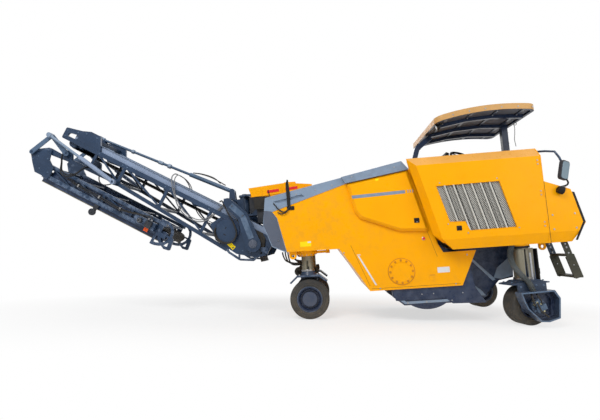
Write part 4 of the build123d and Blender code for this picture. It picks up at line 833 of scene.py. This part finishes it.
def build_canopy():
    panel = pair("canopy_panels", GREY_PANEL, bevel=0.003)
    for x0, x1 in ((-2380, -2470), (-2530, -2895), (-2955, -3320), (-3380, -3720), (-3780, -3860)):
        for y0, y1 in ((38, 582), (658, 940)):
            low0, low1 = roof_low(x0) + 16, roof_low(x1) + 16
            panel.slab([(x0, y0, low0), (x1, y0, low1), (x1, y1, low1), (x0, y1, low0)], (0, 0, 12))
    bolts = pair("canopy_bolts", ZINC)
    bolts.studs(1000, [(x, roof_low(x) + 40) for x in (-2594, -2860, -3120, -3380, -3640, -3865)], 8)
    for x in (-2500, -2925, -3350, -3750):
        for y in (680, 900):
            bolts.bolt((x, y, roof_low(x) + 2), DOWN, 8)
    bolts.twins = False
    for z in (2560, 2842, 3040):
        for y in (-30, 30):
            bolts.bolt((-3840, y, z), (-1, 0, 0), 10)
    cord = Piece("canopy_pull_cord", BLACK)
    cord.tube([(-3900, 180, 3160), (-3912, 182, 3080), (-3900, 184, 2960), (-3888, 180, 2860),
               (-3900, 180, 2740)], 5)
    cord.tube([(-3900, 180, 3150), (-3930, 180, 3130), (-3952, 180, 3150), (-3946, 180, 3180)], 5)
    lamp = pair("canopy_lamps", BLACK, bevel=0.004)
    glass = pair("canopy_lamp_lenses", LAMP_GLASS)
    at, aim = (-2420, 780, roof_low(-2420) - 40), (0.9, 0, -0.35)
    lamp.dome([(0, 40), (40, 48), (60, 48), (62, 42)], at, aim, 24)
    lamp.bar(at, (at[0], at[1], at[2] + 60), 20, 20)
    glass.lathe([(62, CORE), (62, 40), (66, 30), (68, CORE)], at, aim, 24)


def cushion(name, centre, size, lean, channels):
    """A stuffed pad: rounded block with a crown and sewn channels across it."""
    a, b, c = (s / 2 for s in size)
    turn = Matrix.Rotation(lean, 3, "Y")
    verts, rows, cols = [], 28, 48

    def power(value, n):
        return math.copysign(abs(value) ** n, value)

    for i in range(rows + 1):
        v = -math.pi / 2 + math.pi * i / rows
        for k in range(cols):
            u = 2 * math.pi * k / cols
            x = power(math.cos(v), 0.45) * power(math.cos(u), 0.3)
            y = power(math.cos(v), 0.45) * power(math.sin(u), 0.3)
            z = power(math.sin(v), 0.6)
            crown = 1 + 0.28 * (1 - x * x) * (1 - y * y) * (z > 0)
            groove = 1 - 0.16 * sum(math.exp(-((y - g) / 0.05) ** 2) for g in channels) * (z > 0) * abs(z)
            verts.append(Vector(centre) + turn @ Vector((a * x, b * y, c * z * crown * groove)))
    faces = [(i * cols + k, i * cols + (k + 1) % cols, (i + 1) * cols + (k + 1) % cols, (i + 1) * cols + k)
             for i in range(rows) for k in range(cols)]
    piece = Piece(name, SEAT_COVER, smooth=80)
    piece.shell(verts, faces)
    obj = piece.build()
    weld = obj.modifiers.new("weld", "WELD")
    weld.merge_threshold = 0.0004
    soft = obj.modifiers.new("soft", "SUBSURF")
    soft.levels = soft.render_levels = 1
    return obj


def build_operator():
    cushion("seat_cushion", (-3310, 0, 2176), (524, 524, 130), 0.0, (-0.42, 0.42))
    cushion("seat_back_cushion", (-3588, 0, 2352), (330, 500, 130), math.radians(-106), (-0.42, 0.42))
    arms = pair("seat_arms", CHARCOAL, bevel=0.004)
    knob = pair("lever_knobs", BLACK)
    boot = pair("lever_boots", BLACK)
    y = 305
    arms.bar((-3540, y, 2160), (-3540, y, 2330), 36, 24)
    arms.box(-3570, -3240, y - 36, y + 36, 2326, 2352)
    arms.box(-3240, -3110, y - 55, y + 55, 2300, 2372)
    arms.box(-3545, -3515, 230, y, 2150, 2180)
    boot.dome([(0, 34), (14, 30), (20, 33), (30, 24), (38, 26), (50, 14)], (-3175, y, 2372), UP, 20)
    knob.tube([(-3175, y, 2420), (-3176, y, 2460), (-3170, y, 2500)], 8)
    knob.dome([(0, 14), (16, 22), (52, 25), (72, 20), (80, 8)], (-3170, y, 2486), (0.1, 0, 1), 20)

    grip = Piece("steering_grip", BLACK, smooth=60)
    grip.lathe([(-20, 180), (-14, 195), (0, 201), (14, 195), (20, 180), (14, 165), (0, 159), (-14, 165),
                (-20, 180)], (-2960, 0, 2665), (-0.45, 0, 0.89), 64)

    pod = Piece("gauge_pod", BLACK, bevel=0.006)
    pod.slab([(-2600, -210, 2566), (-2690, -210, 2566), (-2700, -210, 2716), (-2650, -210, 2736)],
             (0, 420, 0))
    pod.bar((-2640, 0, 2480), (-2640, 0, 2580), 60, 40)
    dial = Piece("gauge_rims", ZINC)
    face = Piece("gauge_faces", LABEL_WHITE)
    needle = Piece("gauge_needles", RED)
    for y in (-140, -48, 48, 140):
        at, out = Vector((-2696, y, 2650)), Vector((-1, 0, 0.07))
        dial.lathe([(0, 36), (0, 42), (10, 42), (12, 38), (10, 35), (0, 35)], at, out, 28)
        face.disc(at, 35, 4, out, 28)
        needle.bar(at + out * 6, at + out * 6 + Vector((0, 18, 20)), 4, 2)
    keys = Piece("console_switches", CHARCOAL, bevel=0.002)
    for k in range(6):
        y = -270 + 42 * k
        keys.slab([(-2700, y, 2515), (-2740, y, 2498), (-2740, y + 26, 2498), (-2700, y + 26, 2515)],
                  (0, 0, 20))

    corners = [(90, 110), (78, 138), (50, 150), (-50, 150), (-78, 138), (-90, 110)]
    corners += [(-y, -z) for y, z in corners]
    for name, side in SIDES:
        at = sided(side)
        head = (at @ Matrix.Translation((-4066, 1292, 2090)) @ Matrix.Rotation(math.radians(-14), 4, "Y")
                @ Matrix.Rotation(math.radians(-62), 4, "Z"))
        shell = Piece(f"mirror_shell_{name}", CHARCOAL, at=head, bevel=0.012, slot="dark_plastic")
        shell.slab([(-30, y, z) for y, z in corners], (60, 0, 0))
        body_piece = shell.build()
        if side > 0:
            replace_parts(body_piece, "mirrors")
        glass = Piece(f"mirror_face_{name}", GLASS, at=head, bevel=0.002)
        glass.slab([(-34, y * 0.86, z * 0.88) for y, z in corners], (5, 0, 0))
        arm = Piece(f"mirror_arm_{name}", DARK_BLUE, at=at)
        arm.tube([(-3782, 1000, 2440), (-3830, 1000, 2463), (-3912, 1120, 2440), (-3993, 1240, 2400),
                  (-4036, 1268, 2300), (-4062, 1290, 2190)], 17, curved=False)
        arm.box(-3789, -3776, 965, 1035, 2395, 2475)
        strut = Piece(f"mirror_strut_{name}", BLACK, at=at)
        strut.tube([(-4084, 1290, 1960), (-4110, 1290, 1900), (-4085, 1280, 1858), (-3990, 1262, 1840)], 13)


# ------------------------------------------------------------------ legs, wheels, ladder
def tyre_profile(radius, width):
    """Distance along the axle and radius round a solid tyre's section, with rounded shoulders."""
    half, bore = width / 2, radius * 0.62
    side = [(half - 12, bore), (half - 4, bore + 8), (half - 4, bore + 14), (half - 9, bore + 18),
            (half - 2, bore + 30), (half, radius - 78), (half - 5, radius - 70), (half - 1, radius - 62),
            (half - 3, radius - 34), (half - 9, radius - 17), (half - 18, radius - 7),
            (half - 30, radius - 1.5), (half - 44, radius)]
    grooves = []
    for y in (half * 0.45, -half * 0.45):
        grooves += [(y + 5, radius), (y + 3, radius - 5), (y - 3, radius - 5), (y - 5, radius)]
    return side + grooves + [(-y, r) for y, r in side[::-1]]


def build_wheels():
    for end, axle, turn, radius, width in (("front", FRONT_AXLE, 0.0, 330.0, 280.0),
                                           ("rear", REAR_AXLE, REAR_TURN, 310.0, 300.0)):
        for name, side in SIDES:
            at = leg_frame(axle, side, turn)
            wheel, leg = f"{end}_{name}_wheel", f"{end}_{name}_leg"
            tyre = Piece(f"{end}_{name}_rubber", TYRE, wheel, at, slot="tyre_rubber", smooth=50)
            tyre.lathe(tyre_profile(radius, width), (0, 0, 0), steps=112)
            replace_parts(tyre.build(), f"{end}_{name}_tyre")
            face = 1 if end == "front" else -1     # the dished side: out in front, in at the rear
            outer = width / 2 * face
            cap = Piece(f"{end}_{name}_hub_cap", HUB_BLUE, wheel, at, smooth=40)
            cap.lathe([(-60, 116), (-30, 124), (-18, 124), (-12, 118), (-12, CORE)],
                      (0, outer - 14 * face, 0), (0, face, 0), 64)
            edge = Piece(f"{end}_{name}_rim_edge", DARK_BLUE, wheel, at, smooth=50)
            section = ((0, 0.60), (2, 0.63), (-2, 0.655), (-14, 0.655), (-14, 0.60))
            edge.lathe([(d, radius * share) for d, share in section], (0, outer - 4 * face, 0),
                       (0, face, 0), 96)
            nuts = Piece(f"{end}_{name}_nuts", DEEP_BLUE, wheel, at)
            nuts.ring((0, face * (width / 2 * 0.15 + 26), 0), 158, 10, 12, axis=(0, face, 0))
            (front_leg if end == "front" else rear_leg)(name, leg, at)


def front_leg(name, leg, at):
    bolts = Piece(f"front_{name}_leg_bolts", ZINC, leg, at)
    for x in (-150, 150):
        for y in (-150, 90):
            bolts.bolt((x, y, 401), UP, 13)
    bolts.ring((0, -264, 0), 60, 8, axis=(0, -1, 0))
    gauge = Piece(f"front_{name}_depth_gauge", BLACK, leg, at, bevel=0.002)
    gauge.box(-26, -4, 92, 106, 440, 540)
    guard = Piece(f"front_{name}_hose_boots", BELT, leg, at, smooth=60)
    guard.tube([(120, -150, 400), (180, -150, 420), (204, -150, 455), (180, -140, 492), (126, -125, 496)], 42,
               sides=16)
    guard.tube([(-110, -150, 400), (-140, -150, 450), (-130, -140, 520)], 34, sides=14)
    bands = Piece(f"front_{name}_column_bands", STEEL, leg, at)
    bands.lathe([(0, 100), (0, 110), (10, 112), (22, 112), (30, 108), (30, 100)], (0, 0, 462), UP, 56)
    seal = Piece(f"front_{name}_column_seal", BLACK, at=at)
    seal.lathe([(0, 101), (0, 124), (16, 128), (34, 124), (34, 101)], (0, 0, 738), UP, 56)
    hose = Piece(f"front_{name}_motor_hoses", HOSE, leg, at)
    for turn in (-1, 1):
        hose.tube([(30 * turn, -290, 20), (34 * turn, -318, 60), (40 * turn, -300, 220),
                   (40 * turn, -260, 330), (40 * turn, -240, 430)], 11)
    ports = Piece(f"front_{name}_motor_ports", ZINC, leg, at)
    for x in (-30, 30):
        ports.dome([(0, 16), (22, 16)], (x, -264, 20), (0, -1, 0), 6)


GUARD_LOOP = [(278, 203), (-233, 203), (-309, 92), (-271, -180), (-102, -213), (14, -200), (196, -18),
              (240, 80)]


def rear_leg(name, leg, at):
    """Motor side of a rear leg: dished guard, hydraulic ports and hoses, duct, scale and sensors."""
    dish = Piece(f"rear_{name}_guard_dish", DEEP_BLUE, leg, at, bevel=0.002)
    dish.plate(GUARD_LOOP, 203, 209)
    dish.band(closed(GUARD_LOOP), closed(scaled(GUARD_LOOP, 0.82)), 206, 246)
    lip = Piece(f"rear_{name}_guard_lip", MID_BLUE, leg, at, bevel=0.001)
    outer = [(300, 225), (-255, 225), (-335, 100), (-295, -195), (-110, -235), (20, -222), (215, -20),
             (262, 90)]
    lip.band(closed(outer), closed(GUARD_LOOP), 350, 350.3)
    bolts = Piece(f"rear_{name}_leg_bolts", MID_BLUE, leg, at)
    bolts.ring((0, 296, 0), 92, 8, 10)
    for x, z in ((-190, 290), (-70, 300), (70, 300), (190, 290)):
        bolts.bolt((x, 200, z), radius=11)
    for x, y in ((-250, -80), (-250, 120), (280, -80), (280, 120)):
        bolts.bolt((x, y, 355), UP, 13)
    block = Piece(f"rear_{name}_valve_block", MID_BLUE, leg, at, bevel=0.005)
    block.plate([(-120, -40), (40, -90), (60, -20), (-90, 40)], 296, 336)
    block.dome([(0, 54), (26, 54), (34, 40)], (20, 296, 40), steps=32)
    ports = Piece(f"rear_{name}_ports", BRASS, leg, at)
    for x, z in ((88, 96), (74, 30), (40, 62), (-20, 40), (-60, -70)):
        ports.dome([(0, 18), (20, 18), (24, 14), (44, 14)], (x, 296, z), (0.2, 1, 0), 6)
    hose = Piece(f"rear_{name}_hoses", HOSE, leg, at)
    hose.tube([(88, 336, 96), (110, 352, 110), (126, 346, 150), (90, 300, 196), (40, 268, 210)], 11)
    hose.tube([(74, 336, 30), (96, 356, 30), (120, 352, 90), (110, 310, 170), (60, 268, 205)], 11)
    hose.tube([(40, 336, 62), (46, 358, 20), (10, 358, -60), (-60, 352, -120), (-110, 340, -160)], 11)
    hose.tube([(-20, 336, 40), (-10, 356, 80), (20, 350, 140), (20, 300, 190), (0, 262, 210)], 10)
    duct = Piece(f"rear_{name}_corrugated_hose", DUCT, None, at, smooth=60)
    duct.tube([(170, 60, 920), (214, 80, 830), (236, 96, 740), (218, 130, 610), (150, 190, 470),
               (88, 240, 370), (56, 262, 270), (40, 268, 200)], 44, sides=18, steps=12, ribs=6)
    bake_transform(duct.build())
    strip = Piece(f"rear_{name}_scale_strip", ZINC, leg, at, bevel=0.001)
    strip.box(-150, -118, 52, 55, 360, 790)
    box = Piece(f"rear_{name}_sensor_boxes", BLACK, leg, at, bevel=0.005)
    box.box(-262, -238, -120, 60, 356, 850)
    box.box(-300, -262, -60, 20, 450, 540)
    box.box(-296, -262, -50, 10, 770, 830)
    band = Piece(f"rear_{name}_column_bands", STEEL, leg, at)
    band.lathe([(0, 122), (0, 134), (12, 138), (30, 138), (40, 130), (40, 122)], (0, 0, 381), UP, 64)
    seal = Piece(f"rear_{name}_column_seal", BLACK, at=at)
    seal.lathe([(0, 123), (0, 146), (14, 150), (30, 146), (30, 123)], (0, 0, 872), UP, 64)


def build_ladder_details():
    rubber = Piece("ladder_rubber", KHAKI, bevel=0.006)
    for y in (650, 1130):
        a, b = Vector((-4083, y, 785)), Vector((-4176, y, 452))
        along = (b - a).normalized()
        square = Vector((-along.z, 0, along.x))
        for y0 in (-14, 11):
            step = Vector((0, y0, 0))
            rubber.slab([p + step + square * half for p, half in ((a, 66), (b, 66), (b, -66), (a, -66))],
                        (0, 3, 0))
        for x, z in ((-4060, 870), (-4100, 730)):
            rubber.disc((x, y - 20, z), 12, 40)
    grip = Piece("ladder_grips", STEEL, bevel=0.001)
    for x, z in ((-4075, 790), (-4170, 455)):
        for k in range(5):
            grip.box(x - 72 + 24 * k, x - 62 + 24 * k, 676, 1104, z + 14, z + 20)
        grip.box(x - 82, x - 78, 664, 1116, z - 18, z + 18)
    bolts = Piece("ladder_bolts", ZINC)
    for y in (661, 1141):
        for x, z in ((-4030, 970), (-4045, 915), (-4066, 828), (-4120, 640)):
            bolts.bolt((x, y, z))


def build_milling_details():
    plate = pair("chamber_brackets", SLATE, bevel=0.004)
    bolts = pair("chamber_bolts", ZINC)
    y = 905
    plate.plate([(-2440, 560), (-2520, 340), (-2560, 200), (-2200, 170), (-1560, 170), (-1400, 300),
                 (-1400, 340), (-1580, 210), (-2200, 210), (-2500, 240), (-2400, 560)], y, y + 8)
    bolts.ring((-1930, y, 600), 300, 10, 11)
    bolts.studs(y + 8, ((-2480, 300), (-2300, 190), (-1900, 190), (-1600, 190)), 11)
    hub = pair("chamber_hubs", CHARCOAL, bevel=0.004)
    hub.dome([(0, 150), (16, 150), (30, 120), (40, 70)], (-1930, 905, 600), steps=48)


# ------------------------------------------------------------------ studio
WHITE = (1, 1, 1, 1)
FLOOR_HALF, FLOOR_DROP = 60, 0.001        # metres; the drop keeps it clear of the tyres


def build_stage():
    floor_mesh = bpy.data.meshes.new("studio_floor")
    corners = [(x * FLOOR_HALF, y * FLOOR_HALF, -FLOOR_DROP) for x, y in ((-1, -1), (1, -1), (1, 1), (-1, 1))]
    floor_mesh.from_pydata(corners, [], [(0, 1, 2, 3)])
    floor = bpy.data.objects.new("studio_floor", floor_mesh)
    bpy.context.scene.collection.objects.link(floor)
    mat, shader, bsdf = new_material("studio_white")
    shader.feed(bsdf, {"Base Color": (0.86, 0.86, 0.86, 1), "Roughness": 0.9, "Specular IOR Level": 0.1})
    # away from the machine the floor glows as white as the backdrop
    squeeze = shader.add("VectorMath", {0: shader.place(), 1: (0.5, 1.0, 0.0)}, operation="MULTIPLY")
    length = shader.add("VectorMath", {0: squeeze.outputs["Vector"]}, operation="LENGTH")
    away = shader.mapped(length.outputs["Value"], 1.6, 3.6, 0.62, 1.0)
    glow = shader.add("Emission", {"Color": WHITE})
    mix = shader.add("MixShader", {0: shader.product(away, shader.seen_directly()), 1: bsdf.outputs[0],
                                   2: glow.outputs[0]})
    shader.feed(shader.nodes["Material Output"], {0: mix.outputs[0]})
    floor_mesh.materials.append(mat)

    world = bpy.data.worlds.new("studio")
    bpy.context.scene.world = world
    shader = Shader(world)
    lit = shader.nodes["Background"]
    shader.feed(lit, {"Color": WHITE, "Strength": 0.50})
    shown = shader.add("Background", {"Color": WHITE, "Strength": 1.0})
    pick = shader.add("MixShader", {0: shader.seen_directly(), 1: lit.outputs[0], 2: shown.outputs[0]})
    shader.feed(shader.nodes["World Output"], {0: pick.outputs[0]})

    for name, where, aim, size, power in (
            ("key", (3, 9, 10), (0, 0, 1), 5, 900),
            ("fill", (-9, 8, 5), (-1, 0, 1), 6, 240),
            ("rim", (-2, -9, 8), (0, 0, 2), 7, 380)):
        lamp = bpy.data.lights.new(name, "AREA")
        lamp.shape, lamp.size, lamp.energy = "SQUARE", size, power
        obj = bpy.data.objects.new(name, lamp)
        obj.location = where
        obj.rotation_euler = (Vector(where) - Vector(aim)).to_track_quat("Z", "Y").to_euler()
        bpy.context.scene.collection.objects.link(obj)


def build_camera():
    lens = bpy.data.cameras.new("photo_camera")
    lens.lens, lens.sensor_width = 25.8, 36.0
    cam = bpy.data.objects.new("photo_camera", lens)
    right, up = (-0.99790, -0.06474, 0), (-0.00555, 0.0855, 0.99632)
    back = (-0.0645, 0.99423, -0.08573)
    turn = Matrix((right, up, back)).transposed()
    cam.matrix_world = Matrix.Translation((-0.7753, 8.0443, 1.1987)) @ turn.to_4x4()
    bpy.context.scene.collection.objects.link(cam)
    bpy.context.scene.camera = cam
    bpy.context.scene.view_settings.view_transform = "Standard"


for step in (build_conveyor, build_nose, build_hull_details, build_belly, build_service_doors,
             build_side_doors, build_rear_cap, build_canopy, build_operator, build_wheels,
             build_ladder_details, build_milling_details):
    step()
for waiting_piece in list(Piece.waiting):
    waiting_piece.build()
build_stage()
build_camera()
